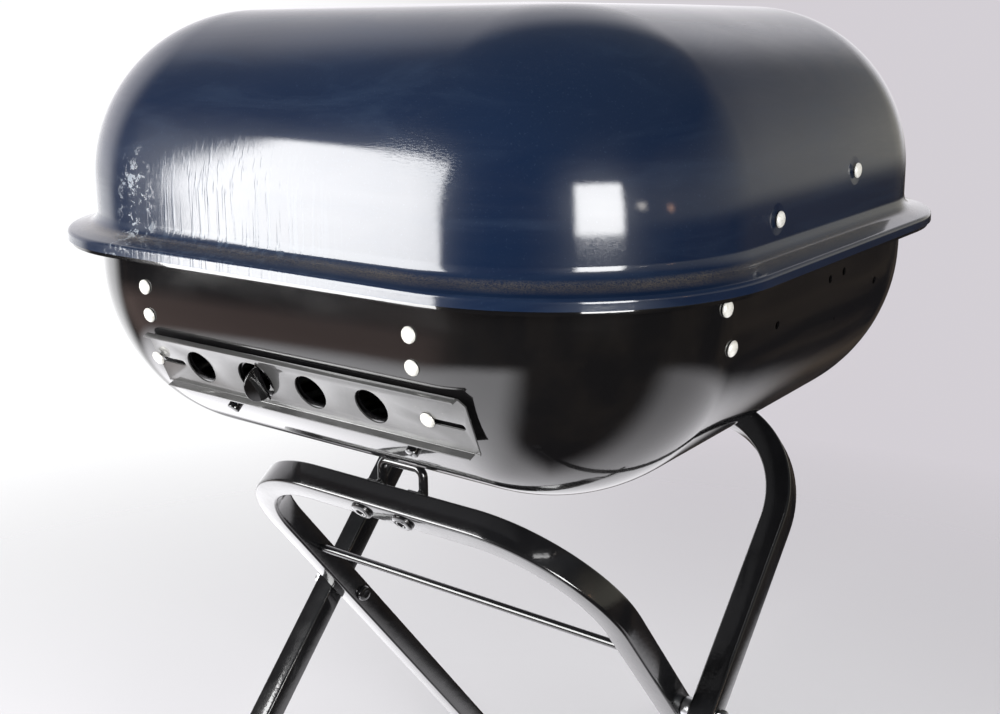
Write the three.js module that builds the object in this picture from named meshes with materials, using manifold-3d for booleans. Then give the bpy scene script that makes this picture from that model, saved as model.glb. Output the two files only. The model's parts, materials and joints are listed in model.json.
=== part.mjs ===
// Portable charcoal grill: a square pan-shaped bowl under a domed hood, on a folding stand of two
// crossed tube loops. Millimetres, +Z up. +X runs along the face with the damper, +Y to the back.
// The pieces are built around the middle of the rim, with z = 0 at the top of the hood's skirt, and
// the finished group is then moved so that its origin is on the floor, under the middle of its box.
import * as THREE from "three";
import { mergeVertices } from "three/addons/utils/BufferGeometryUtils.js";
import Module from "manifold-3d";

const wasm = await Module();
wasm.setup();

// ---- Driving dimensions ----

const SHEET = 1.2; // enamelled steel of the hood and the bowl
const GAP = 0.3; // air between pieces that touch
const RIM_HEIGHT = 640; // floor to the top of the hood's skirt
const DEPTH_TRIM = 1.2; // the body is this much shorter, half to half, along Y than along X

// Hood
const RIM_HALF = 257; // half the width over the hood's skirt: 20 1/4 in overall
const RIM_CORNER = 138; // plan radius of the skirt's corners
const SKIRT_DROP = 6.7;
const HOOD_HALF = 240.2; // wall above the ledge
const HOOD_CORNER = 130;
const HOOD_DRAFT = 0.3;
const HOOD_SHOULDER = 113.5; // radius from the wall into the top
const HOOD_HEIGHT = 139.3; // top edge of the shoulder
const HOOD_CROWN = 3.4; // rise of the top above its edge

// Bowl
const BOWL_HALF = 237.4;
const BOWL_CORNER = 122;
const BOWL_STRAIGHT = -27; // the wall is upright above this height
const BOWL_ROUND_OUT = 118; // horizontal radius of the lower wall
const BOWL_ROUND_DOWN = 120; // vertical radius of the lower wall
const LIP_HALF = 255; // turned-down edge of the bowl's flange
const LIP_BOTTOM = -9.4;

// Damper, measured in the plane of its plate: u along X, v up the slope
const FRONT_SHIFT = -3; // the front face's fittings sit this far left of the middle
const DAMPER_Z = -74.5; // height of the line where the plate is nearest the wall
const DAMPER_STANDOFF = 1.0;
const DAMPER_SHEET = 1.0;
const DAMPER_U = [-116, 141]; // ends of the plate, with the holes open
const DAMPER_V = [-21.9, 16.5]; // backs of its two flanges
const DAMPER_FLANGES = [5, 4]; // how far the lower and the upper one stand out
const DAMPER_CHAMFER = 6;
const VENT_V = -3.5;
const VENT_RADIUS = 11.8;
const VENT_PITCH = 48;
const DAMPER_TRAVEL = 24; // half a pitch closes every vent
const DAMPER_RIVET_X = 113.5;
const SLOT_HALF = 1.95;
const TAB_VENT = 1; // the vent that the finger tab stands in
const TAB_VENT_SHIFT = 1.8; // this vent is longer along the plate than the others
const TAB_VENT_GROWN = 0.8;
const TAB_OFFSET = 8; // fold line, right of the vent's middle
const TAB_RADIUS = 11.3;
const TAB_NECK = 2.5; // how far the foot reaches past the leaf on each side
const TAB_REACH = 14;
const TAB_LEAN = 10; // degrees, towards -X

// Rivets
const RIVET_HEAD = 4.75;
const RIVET_SHANK = 1.6;
const RIVET_HOLE = 2;
const BRACKET_WIDTH = 22;
const BRACKET_SHEET = 1.6;
const BRACKET_SHELF = 21; // how far each shelf reaches in from the wall
const BRACKET_KNEES_Z = [-36, -46]; // bends that follow the wall
const BRACKET_X = 109.5; // front and back grid brackets, either side of the middle
const BRACKET_RIVETS_Z = [-29.8, -48.2];
const BRACKET_SET_BACK = 1.3; // air between the bracket and the curved wall
const BRACKET_BOTTOM = -57;
const BRACKET_RIVET_DEPTH = 4.8; // outer skin to the tail of the rivet
const SIDE_BRACKET_Y = -124;
const SIDE_SET_BACK = 4.4;
const SIDE_BOTTOM = -54;
const SIDE_RISE = 14; // the plate above the shelf
const SIDE_RIVET_DEPTH = 8.8;
const SIDE_RIVETS = [
  [-128.1, -19.1],
  [-119.5, -42.9],
]; // y and z of the two rivets
const HOOK_RIVETS = [
  [-76.2, 22.5],
  [37.9, 38.7],
]; // y and z of each hood hook's rivet
const HOOK_TIP = -26;
const HOOK_SHEET = 1.8;
const HOOK_WIDTH = 20;

// Grids
const GRID_TOP = -18.5; // top of the cooking grid's wires
const GRID_HALF = 221;
const GRID_CORNER = 104;
const GRID_WIRE = 2.5;
const GRID_RODS = 21;
const GRATE_Z = -112;
const GRATE_HALF = 192;
const GRATE_CORNER = 78;
const GRATE_WIRE = 3;
const GRATE_RODS = 11;

// Stand: the front loop's legs run down and back, the rear loop's run down and forward
const TUBE = 19.05; // 3/4 in square tube
const TUBE_ROUND = 2.2;
const TUBE_SHEET = 1.2;
const PIVOT = { y: -18.3, z: -335.3 };
const FRONT_LOOP = { half: 153.4, tilt: 51.9, toBar: 194.9, bend: 81.5, toEnd: 377, side: -1 };
const REAR_LOOP = { half: 179.4, tilt: 46.56, toBar: 230.5, bend: 83.9, toEnd: 407, side: 1 };
const ROD_ABOVE_PIVOT = 74;
const ROD_RADIUS = 3.1;
const FOOT_HALF = 12.3;
const FOOT_SOCKET = 28;
const BOLT_RADIUS = 3.1;
const BOLT_HOLE = 3.45;

// U-shaped rod between the bowl's floor and the front loop's top bar
const SADDLE_X = 18.3; // middle of each leg
const SADDLE_Y = -124.9;
const SADDLE_ROD = 3.2; // radius
const SADDLE_BEND = 6;
const SADDLE_LEG = 38; // before it is trimmed at the bar
const SADDLE_CLEAR = 7.5; // air between the rod and the bowl's floor
const SADDLE_PAD = { half: 7.5, tall: 5, sheet: 2.2 }; // flattened ends on the bar's back face
const SADDLE_SCREW = { head: 8, tall: 2.6, length: 25 };

// Clamps that the rear loop's top bar turns in
const CLAMP_X = 60;
const CLAMP_WIDTH = 22;
const CLAMP_BORE = 13.2;
const CLAMP_SHEET = 2.4;
const CLAMP_RIVETS_Y = [102, 114];

// Hood handle, on the side opposite the hooks
const HANDLE_Z = 24;
const HANDLE_REACH = 33; // hood wall to the grip
const GRIP = { thick: 25, tall: 23, long: 172 };
const HANDLE_POSTS_Y = 64;
const POST_RADIUS = 6.5;
const SCREW_RADIUS = 2.4;
const SCREW_HOLE = 2.8;

// ---- Materials ----

const finish = (color, roughness, metalness = 0) =>
  new THREE.MeshStandardMaterial({ color, roughness, metalness });
const NAVY_ENAMEL = finish(0x14284a, 0.14);
const BLACK_ENAMEL = finish(0x0c0c0e, 0.1);
const BLACK_PAINT = finish(0x121214, 0.28);
const RIVET_ENAMEL = finish(0xe6e4da, 0.4);
const ZINC = finish(0xb4b6b8, 0.35, 1);
const CHROME = finish(0xc8c8ca, 0.2, 1);
const PLASTIC = finish(0x18181a, 0.55);

// ---- Solids ----

const radians = THREE.MathUtils.degToRad;
const UNIT_X = new THREE.Vector3(1, 0, 0);
const UNIT_Y = new THREE.Vector3(0, 1, 0);
const UNIT_Z = new THREE.Vector3(0, 0, 1);

// A closed geometry as a solid that can be joined or cut.
function solid(geometry) {
  const bare = new THREE.BufferGeometry();
  bare.setAttribute("position", geometry.getAttribute("position"));
  bare.setIndex(geometry.index);
  const merged = mergeVertices(bare, 1e-4);
  return new wasm.Manifold(
    new wasm.Mesh({
      numProp: 3,
      vertProperties: merged.attributes.position.array,
      triVerts: new Uint32Array(merged.index.array),
    }),
  );
}

// The triangles of a joined or cut solid.
function geometryOf(manifold) {
  const cut = manifold.getMesh();
  const geometry = new THREE.BufferGeometry();
  geometry.setAttribute("position", new THREE.BufferAttribute(cut.vertProperties, 3));
  geometry.setIndex(new THREE.BufferAttribute(cut.triVerts, 1));
  return geometry;
}

const subtractAll = (body, cutters) => cutters.reduce((left, cutter) => left.subtract(cutter), body);
const addAll = (bodies) => bodies.reduce((sum, body) => sum.add(body));

// A named piece from a geometry or from a solid.
function piece(name, shape, material) {
  const geometry = shape.isBufferGeometry ? shape : geometryOf(shape);
  geometry.computeVertexNormals();
  const mesh = new THREE.Mesh(geometry, material);
  mesh.name = name;
  return mesh;
}

function boxSolid(low, high) {
  const size = high.map((value, axis) => value - low[axis]);
  const box = new THREE.BoxGeometry(...size);
  box.translate(...low.map((value, axis) => value + size[axis] / 2));
  return solid(box);
}

// A matrix that takes local x, y, z to the three given directions at a place.
const frameAt = (place, x, y, z) => new THREE.Matrix4().makeBasis(x, y, z).setPosition(place);

// A matrix that stands a shape's own +Z along a direction.
function standAlong(place, direction) {
  const turn = new THREE.Quaternion().setFromUnitVectors(UNIT_Z, direction);
  return new THREE.Matrix4().compose(place, turn, new THREE.Vector3(1, 1, 1));
}

// A cylinder from one distance to another along an axis through a place.
function rod(place, direction, from, to, radius, sides = 12) {
  const bar = new THREE.CylinderGeometry(radius, radius, to - from, sides);
  bar.rotateX(Math.PI / 2);
  bar.translate(0, 0, (from + to) / 2);
  bar.applyMatrix4(standAlong(place, direction));
  return bar;
}

// Stitches rings of equal length into one skin, closed by a fan at each end or onto itself.
function loft(rings, closedOnItself = false) {
  const count = rings[0].length;
  const points = rings.flat();
  const index = [];
  const bands = closedOnItself ? rings.length : rings.length - 1;
  for (let band = 0; band < bands; band += 1) {
    const here = band * count;
    const next = ((band + 1) % rings.length) * count;
    for (let i = 0; i < count; i += 1) {
      const j = (i + 1) % count;
      index.push(here + i, here + j, next + j, here + i, next + j, next + i);
    }
  }
  if (!closedOnItself) {
    for (const [ring, outward] of [
      [0, false],
      [rings.length - 1, true],
    ]) {
      const middle = rings[ring]
        .reduce((sum, point) => sum.add(point), new THREE.Vector3())
        .divideScalar(count);
      points.push(middle);
      for (let i = 0; i < count; i += 1) {
        const a = ring * count + i;
        const b = ring * count + ((i + 1) % count);
        index.push(...(outward ? [a, b, points.length - 1] : [b, a, points.length - 1]));
      }
    }
  }
  const geometry = new THREE.BufferGeometry().setFromPoints(points);
  geometry.setIndex(index);
  return geometry;
}

// ---- Hood and bowl ----

const CORNER_STEPS = 7;

// A level ring with rounded corners: half its width along X, its corner radius and its height.
function levelRing(half, corner, z, steps = CORNER_STEPS) {
  const ring = [];
  const round = Math.max(corner, 0.5);
  for (let side = 0; side < 4; side += 1) {
    for (let i = 0; i <= steps; i += 1) {
      const turn = ((side + i / steps) * Math.PI) / 2;
      const signX = side === 0 || side === 3 ? 1 : -1;
      const signY = side < 2 ? 1 : -1;
      const x = signX * (half - round) + round * Math.cos(turn);
      const y = signY * (half - DEPTH_TRIM - round) + round * Math.sin(turn);
      ring.push(new THREE.Vector3(x, y, z));
    }
  }
  return ring;
}

// A profile point is [half width, height, corner radius]. The inner skin is the outer one moved
// inwards by the sheet.
function offsetProfile(profile, distance) {
  return profile.map(([half, z, corner], i) => {
    const [halfBefore, zBefore] = profile[Math.max(i - 1, 0)];
    const [halfAfter, zAfter] = profile[Math.min(i + 1, profile.length - 1)];
    const length = Math.hypot(halfAfter - halfBefore, zAfter - zBefore);
    const outX = (zAfter - zBefore) / length;
    const outZ = -(halfAfter - halfBefore) / length;
    return [half - distance * outX, z - distance * outZ, corner - distance * outX];
  });
}

const profileRings = (profile) => profile.map(([half, z, corner]) => levelRing(half, corner, z));

// The hood's outer profile, from the skirt's bottom edge up to the middle of the top.
function hoodProfile() {
  const ledgeCorner = (half) =>
    HOOD_CORNER + ((half - HOOD_HALF) * (RIM_CORNER - HOOD_CORNER)) / (RIM_HALF - HOOD_HALF);
  const profile = [
    [RIM_HALF, -SKIRT_DROP],
    [RIM_HALF, -2.2],
    [RIM_HALF - 0.8, -0.7],
    [RIM_HALF - 2.6, 0],
    [HOOD_HALF + 5.6, 2.6],
    [HOOD_HALF + 2.0, 4.8],
    [HOOD_HALF + 0.3, 8.6],
  ].map(([half, z]) => [half, z, ledgeCorner(half)]);
  const shoulderZ = HOOD_HEIGHT - HOOD_SHOULDER;
  const steps = 9;
  for (let i = 0; i <= steps; i += 1) {
    const turn = (i / steps) * (Math.PI / 2);
    const inset = HOOD_DRAFT + HOOD_SHOULDER * (1 - Math.cos(turn));
    profile.push([HOOD_HALF - inset, shoulderZ + HOOD_SHOULDER * Math.sin(turn), HOOD_CORNER - inset]);
  }
  const [edgeHalf, , edgeCorner] = profile[profile.length - 1];
  for (const share of [0.6, 0.2]) {
    const rise = HOOD_CROWN * (1 - share * share);
    profile.push([edgeHalf * share, HOOD_HEIGHT + rise, edgeCorner * share]);
  }
  return profile;
}

// How far the bowl's wall has curved in at a height.
function bowlInset(z) {
  const down = Math.max(BOWL_STRAIGHT - z, 0) / BOWL_ROUND_DOWN;
  return BOWL_ROUND_OUT * (1 - Math.sqrt(Math.max(1 - down * down, 0)));
}

// The bowl's outer profile, from the middle of its floor up to the underside of its flange.
function bowlProfile() {
  const floorZ = BOWL_STRAIGHT - BOWL_ROUND_DOWN;
  const floorHalf = BOWL_HALF - BOWL_ROUND_OUT;
  const floorCorner = BOWL_CORNER - BOWL_ROUND_OUT;
  const profile = [[floorHalf * 0.4, floorZ, floorCorner * 0.4]];
  const steps = 10;
  for (let i = 0; i <= steps; i += 1) {
    const turn = (i / steps) * (Math.PI / 2);
    const inset = BOWL_ROUND_OUT * (1 - Math.sin(turn));
    profile.push([BOWL_HALF - inset, BOWL_STRAIGHT - BOWL_ROUND_DOWN * Math.cos(turn), BOWL_CORNER - inset]);
  }
  profile.push([BOWL_HALF, -8.4, BOWL_CORNER]);
  return profile;
}

function hoodShell() {
  const outer = hoodProfile();
  const inner = offsetProfile(outer, SHEET);
  inner[0][1] = -SKIRT_DROP;
  const rings = profileRings([...inner].reverse().concat(outer));
  const shell = solid(loft(rings));
  const cutters = HOOK_RIVETS.map(([y, z]) =>
    solid(rod(new THREE.Vector3(0, y, z), UNIT_X, HOOD_HALF - 20, HOOD_HALF + 10, RIVET_HOLE)),
  );
  for (const y of [-HANDLE_POSTS_Y, HANDLE_POSTS_Y]) {
    const at = new THREE.Vector3(0, y, HANDLE_Z);
    cutters.push(solid(rod(at, UNIT_X, -HOOD_HALF - 10, -HOOD_HALF + 20, SCREW_HOLE)));
  }
  return subtractAll(shell, cutters);
}

// Slope of the bowl's wall at a height: the angle that its outward normal points below level.
function bowlSlope(z) {
  const step = 0.5;
  return Math.atan2(bowlInset(z - step) - bowlInset(z + step), 2 * step);
}

// A place on the bowl's outside and the outward normal there. Side 0 is the front (-Y), 1 the right
// (+X), 2 the back and 3 the left; along runs to the right as that side is seen.
function onBowl(side, along, z) {
  const half = BOWL_HALF - bowlInset(z) - (side % 2 === 0 ? DEPTH_TRIM : 0);
  const corner = BOWL_CORNER - bowlInset(z);
  const past = Math.max(Math.abs(along) - (BOWL_HALF - BOWL_CORNER), 0);
  const back = corner - Math.sqrt(corner * corner - past * past);
  const turn = Math.asin(past / corner) * Math.sign(along);
  const slope = bowlSlope(z);
  const place = new THREE.Vector3(along, -(half - back), z);
  const normal = new THREE.Vector3(
    Math.sin(turn) * Math.cos(slope),
    -Math.cos(turn) * Math.cos(slope),
    -Math.sin(slope),
  );
  const quarter = (side * Math.PI) / 2;
  return { place: place.applyAxisAngle(UNIT_Z, quarter), normal: normal.applyAxisAngle(UNIT_Z, quarter) };
}

// Places of the rivets through the bowl's wall: [name, side, along, z].
const BRACKET_RIVETS = [0, 2].flatMap((side) =>
  [-1, 1].flatMap((hand) =>
    BRACKET_RIVETS_Z.map((z, i) => {
      const end = side === 0 ? "front" : "rear";
      const shift = side === 0 ? FRONT_SHIFT : 0;
      const name = `${end}_grid_rivet_${(hand < 0 ? ["a", "b"] : ["c", "d"])[i]}`;
      return [name, side, hand * BRACKET_X + shift, z];
    }),
  ),
);
const SIDE_BRACKET_RIVETS = [1, 3].flatMap((side) =>
  SIDE_RIVETS.map(([y, z], i) => [
    `${side === 1 ? "right" : "left"}_side_rivet_${["a", "b"][i]}`,
    side,
    side === 1 ? y : -y,
    z,
  ]),
);

// The frame of a damper's plate: its origin where the plate is nearest the wall, u to the right, v up
// the slope and out away from the bowl.
function damperFrame(side) {
  const quarter = (side * Math.PI) / 2;
  const slope = bowlSlope(DAMPER_Z);
  const u = UNIT_X.clone().applyAxisAngle(UNIT_Z, quarter);
  const v = new THREE.Vector3(0, -Math.sin(slope), Math.cos(slope)).applyAxisAngle(UNIT_Z, quarter);
  const out = new THREE.Vector3(0, -Math.cos(slope), -Math.sin(slope)).applyAxisAngle(UNIT_Z, quarter);
  return frameAt(onBowl(side, 0, DAMPER_Z).place, u, v, out);
}

const damperShift = (side) => (side === 0 ? FRONT_SHIFT : 0);
const VENTS_U = [-1.5, -0.5, 0.5, 1.5].map((step) => step * VENT_PITCH);

// Holes in the bowl's right wall that carry no fastener on this model: [along, z, radius].
const SPARE_HOLES = [
  [13.2, -26.5, 2.6],
  [35.2, -25.1, 2.6],
  [93.1, -40.6, 2.6],
  [-61.4, -41.3, 2.6],
  [32.4, -55.8, 1.3],
];
// Short round studs on the wall under each damper: [along, z].
const STUDS = [
  [-70.1, -107.7],
  [82, -106.9],
];
const STUD_RADIUS = 4.2;
const STUD_REACH = 4;

function bowlShell() {
  const outer = bowlProfile();
  const inner = offsetProfile(outer, SHEET);
  inner[0][1] = outer[0][1] + SHEET;
  const flangeCorner = (half) =>
    BOWL_CORNER + ((half - BOWL_HALF) * (RIM_CORNER - 2 - BOWL_CORNER)) / (LIP_HALF - BOWL_HALF);
  const under = [
    [BOWL_HALF + 1.2, -6.2],
    [LIP_HALF - SHEET - 1.2, -4.6],
    [LIP_HALF - SHEET, -5.8],
    [LIP_HALF - SHEET, LIP_BOTTOM],
    [LIP_HALF, LIP_BOTTOM],
    [LIP_HALF, -4.6],
    [LIP_HALF - 1.6, -3.1],
    [BOWL_HALF + 0.8, -4.6],
  ].map(([half, z]) => [half, z, flangeCorner(half)]);
  const rings = profileRings([...outer, ...under, ...inner.reverse()]);
  const shell = solid(loft(rings));
  const cutters = [];
  const studs = [];
  const drill = (at, radius, sides = 8) =>
    cutters.push(solid(rod(at.place, at.normal, -12, 12, radius, sides)));
  for (const [, side, along, z] of [...BRACKET_RIVETS, ...SIDE_BRACKET_RIVETS]) {
    drill(onBowl(side, along, z), RIVET_HOLE);
  }
  for (const side of [0, 2]) {
    const frame = damperFrame(side);
    const out = new THREE.Vector3().setFromMatrixColumn(frame, 2);
    const through = (u, v, radius, sides) => {
      const place = new THREE.Vector3(u + damperShift(side), v, 0).applyMatrix4(frame);
      cutters.push(solid(rod(place, out, -14, 14, radius, sides)));
    };
    VENTS_U.forEach((u) => through(u, VENT_V, VENT_RADIUS - 0.8, 16));
    [-DAMPER_RIVET_X, DAMPER_RIVET_X].forEach((u) => through(u, VENT_V, RIVET_HOLE, 8));
    for (const [along, z] of STUDS) {
      const at = onBowl(side, along, z);
      studs.push(solid(rod(at.place, at.normal, -SHEET * 0.7, STUD_REACH, STUD_RADIUS, 10)));
    }
  }
  for (const [along, z, radius] of SPARE_HOLES) drill(onBowl(1, along, z), radius);
  for (const x of [-CLAMP_X, CLAMP_X]) {
    for (const y of CLAMP_RIVETS_Y) {
      const at = new THREE.Vector3(x, y, BOWL_STRAIGHT - BOWL_ROUND_DOWN);
      cutters.push(solid(rod(at, UNIT_Z, -5, 5, RIVET_HOLE, 8)));
    }
  }
  return subtractAll(addAll([shell, ...studs]), cutters);
}

// ---- Fasteners ----

// A lathe-turned piece standing on +Z, from [radius, height] points that start and end on the axis.
const turned = (profile, sides) =>
  new THREE.LatheGeometry(
    profile.map(([radius, height]) => new THREE.Vector2(radius, height)),
    sides,
  ).rotateX(Math.PI / 2);

// A domed rivet. Its head sits on the outer skin, at height 0, and its tail is at depth -grip.
function rivet(grip, sides = 8) {
  return turned(
    [
      [0, -grip - 1.6],
      [RIVET_SHANK + 1.2, -grip - 1.6],
      [RIVET_SHANK + 1.2, -grip],
      [RIVET_SHANK, -grip],
      [RIVET_SHANK, 0],
      [RIVET_HEAD, 0],
      [RIVET_HEAD * 0.78, 1.5],
      [0, 2.3],
    ],
    sides,
  );
}

function placedRivet(name, place, normal, lift, grip) {
  const shape = rivet(grip).applyMatrix4(standAlong(place.clone().addScaledVector(normal, lift), normal));
  return piece(name, shape, RIVET_ENAMEL);
}

// A screw or bolt along +Z with a low round head below height 0 and a shank up to its length.
function screw(radius, length, head, headHeight, sides = 12) {
  return turned(
    [
      [0, -headHeight],
      [head * 0.75, -headHeight],
      [head, -headHeight * 0.45],
      [head, 0],
      [radius, 0],
      [radius, length],
      [0, length],
    ],
    sides,
  );
}

// ---- Damper ----

// A plate with its flanges turned outwards, cut to its outline and pierced by the vents and slots.
function damperPlate(side) {
  const [left, right] = DAMPER_U;
  const [low, high] = DAMPER_V;
  const back = DAMPER_STANDOFF;
  const front = back + DAMPER_SHEET;
  const [lowLip, highLip] = DAMPER_FLANGES.map((reach) => front + reach);
  const section = [
    boxSolid([left, low, back], [right, high, front]),
    boxSolid([left, high - DAMPER_SHEET, back], [right - DAMPER_CHAMFER, high, highLip]),
    boxSolid([left + 4, low, back], [right - 4, low + DAMPER_SHEET, lowLip]),
  ];
  const chamfer = new THREE.BoxGeometry(DAMPER_CHAMFER * 2, DAMPER_CHAMFER * 2, 40);
  chamfer.rotateZ(Math.PI / 4);
  const reach = DAMPER_CHAMFER * (Math.SQRT2 - 0.5);
  chamfer.translate(right + reach - DAMPER_CHAMFER * 0.5, high + reach - DAMPER_CHAMFER * 0.5, 0);
  const through = new THREE.Vector3(0, 0, 0);
  const shift = damperShift(side);
  const cutters = [solid(chamfer)];
  VENTS_U.forEach((u, i) => {
    const own = i === TAB_VENT;
    const radius = VENT_RADIUS + (own ? TAB_VENT_GROWN : 0);
    for (const slide of own ? [0, 2 * TAB_VENT_SHIFT] : [0]) {
      through.set(u + shift + slide, VENT_V, 0);
      cutters.push(solid(rod(through, UNIT_Z, -5, 6, radius, 20)));
    }
  });
  for (const u of [-DAMPER_RIVET_X, DAMPER_RIVET_X]) {
    const start = u + shift;
    cutters.push(
      boxSolid([start, VENT_V - SLOT_HALF, -5], [start + DAMPER_TRAVEL, VENT_V + SLOT_HALF, 6]),
      solid(rod(through.set(start, VENT_V, 0), UNIT_Z, -5, 6, SLOT_HALF)),
      solid(rod(through.set(start + DAMPER_TRAVEL, VENT_V, 0), UNIT_Z, -5, 6, SLOT_HALF)),
    );
  }
  const plate = subtractAll(addAll(section), cutters);
  const joined = plate.add(fingerTab(VENTS_U[TAB_VENT] + shift + TAB_OFFSET, back));
  return joined.transform(damperFrame(side).elements);
}

// The round tab that slides the damper: the second vent's slug, turned out of the plate on two necks.
function fingerTab(u, back) {
  const neck = TAB_RADIUS + TAB_NECK;
  const straight = TAB_REACH - TAB_RADIUS;
  const outline = new THREE.Shape();
  outline.moveTo(0, -neck);
  outline.lineTo(0, neck);
  outline.lineTo(DAMPER_SHEET, neck);
  outline.lineTo(DAMPER_SHEET, TAB_RADIUS);
  outline.absellipse(straight, 0, TAB_RADIUS, TAB_RADIUS, Math.PI / 2, -Math.PI / 2, true, 0);
  outline.lineTo(DAMPER_SHEET, -TAB_RADIUS);
  outline.lineTo(DAMPER_SHEET, -neck);
  const tab = new THREE.ExtrudeGeometry(outline, { depth: 1.6, bevelEnabled: false, curveSegments: 7 });
  tab.translate(0, 0, -0.8);
  tab.rotateY(-Math.PI / 2 - radians(TAB_LEAN));
  tab.translate(u, VENT_V, back + 0.4);
  return solid(tab).subtract(boxSolid([u - 20, -40, -10], [u + 20, 40, back]));
}

function damperPieces(side, end) {
  const group = new THREE.Group();
  group.add(piece(`${end}_damper_plate`, damperPlate(side), BLACK_ENAMEL));
  const frame = damperFrame(side);
  const out = new THREE.Vector3().setFromMatrixColumn(frame, 2);
  [-DAMPER_RIVET_X, DAMPER_RIVET_X].forEach((u, i) => {
    const place = new THREE.Vector3(u + damperShift(side), VENT_V, 0).applyMatrix4(frame);
    const lift = DAMPER_STANDOFF + DAMPER_SHEET + GAP;
    const name = `${end}_damper_rivet_${["left", "right"][i]}`;
    group.add(placedRivet(name, place, out, lift, lift + SHEET + 1.2));
  });
  return group;
}

// ---- Grids and their brackets ----

const wallInside = (z) => BOWL_HALF - bowlInset(z) - SHEET / Math.cos(bowlSlope(z));

// A bent strip from its centre-line points [out, z], extruded across its width along local X. Out is
// measured towards -Y.
function bentStrip(points, thickness, width) {
  const left = [];
  const right = [];
  points.forEach(([out, z], i) => {
    const before = points[Math.max(i - 1, 0)];
    const after = points[Math.min(i + 1, points.length - 1)];
    const into = new THREE.Vector2(out - before[0], z - before[1]).normalize();
    const onward = new THREE.Vector2(after[0] - out, after[1] - z).normalize();
    if (i === 0) into.copy(onward);
    if (i === points.length - 1) onward.copy(into);
    const along = into.clone().add(onward).normalize();
    const half = thickness / 2 / Math.max(along.dot(onward), 0.3);
    left.push(new THREE.Vector2(out - along.y * half, z + along.x * half));
    right.push(new THREE.Vector2(out + along.y * half, z - along.x * half));
  });
  const shape = new THREE.Shape([...left, ...right.reverse()]);
  const strip = new THREE.ExtrudeGeometry(shape, { depth: width, bevelEnabled: false });
  strip.translate(0, 0, -width / 2);
  // Shape x is out and shape y is up, so the extrusion runs along X once these axes are swapped.
  strip.applyMatrix4(
    new THREE.Matrix4().makeBasis(new THREE.Vector3(0, -1, 0), UNIT_Z, new THREE.Vector3(-1, 0, 0)),
  );
  return strip;
}

const SHELF_Z = GRID_TOP - 2 * GRID_WIRE - GAP; // top face of the brackets' shelves

// A bracket riveted inside the wall, with a shelf at its top that the cooking grid rests on.
function gridBracket(side, along, setBack, bottom) {
  const clear = GAP + BRACKET_SHEET / 2 + setBack;
  const trim = side % 2 === 0 ? DEPTH_TRIM : 0;
  const out = (z) => wallInside(z) - trim - clear;
  const shelf = SHELF_Z - BRACKET_SHEET / 2;
  const bends = [shelf, ...BRACKET_KNEES_Z, bottom].map((z) => [out(z), z]);
  const points = [[out(shelf) - BRACKET_SHELF, shelf], ...bends];
  const strip = bentStrip(points, BRACKET_SHEET, BRACKET_WIDTH);
  strip.translate(along, 0, 0);
  strip.rotateZ((side * Math.PI) / 2);
  return strip;
}

// A side bracket whose plate goes on above its shelf to the upper of its two rivets.
function sideBracket(side) {
  const along = side === 1 ? SIDE_BRACKET_Y : -SIDE_BRACKET_Y;
  const lower = solid(gridBracket(side, along, SIDE_SET_BACK, SIDE_BOTTOM));
  const outer = wallInside(SHELF_Z) - GAP - SIDE_SET_BACK;
  const tall = SIDE_RISE + BRACKET_SHEET;
  const upright = new THREE.BoxGeometry(BRACKET_WIDTH, BRACKET_SHEET, tall);
  upright.translate(along, -outer + BRACKET_SHEET / 2, SHELF_Z + SIDE_RISE - tall / 2);
  upright.rotateZ((side * Math.PI) / 2);
  const rivets = SIDE_BRACKET_RIVETS.filter((entry) => entry[1] === side);
  return subtractAll(lower.add(solid(upright)), rivets.map(bracketHole));
}

const bracketHole = ([, side, along, z]) => {
  const at = onBowl(side, along, z);
  return solid(rod(at.place, at.normal, -12, 6, RIVET_HOLE, 8));
};

function bracketPieces() {
  const group = new THREE.Group();
  for (const side of [0, 2]) {
    for (const hand of [-1, 1]) {
      const end = side === 0 ? "front" : "rear";
      const name = `${end}_grid_bracket_${hand < 0 ? "a" : "b"}`;
      const along = hand * BRACKET_X + damperShift(side);
      const rivets = BRACKET_RIVETS.filter((entry) => entry[1] === side);
      const plain = solid(gridBracket(side, along, BRACKET_SET_BACK, BRACKET_BOTTOM));
      group.add(piece(name, subtractAll(plain, rivets.map(bracketHole)), ZINC));
    }
  }
  group.add(piece("right_side_bracket", sideBracket(1), ZINC));
  group.add(piece("left_side_bracket", sideBracket(3), ZINC));
  for (const [name, side, along, z] of [...BRACKET_RIVETS, ...SIDE_BRACKET_RIVETS]) {
    const at = onBowl(side, along, z);
    const depth = side % 2 === 0 ? BRACKET_RIVET_DEPTH : SIDE_RIVET_DEPTH;
    group.add(placedRivet(name, at.place, at.normal, GAP, GAP + depth));
  }
  return group;
}

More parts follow.
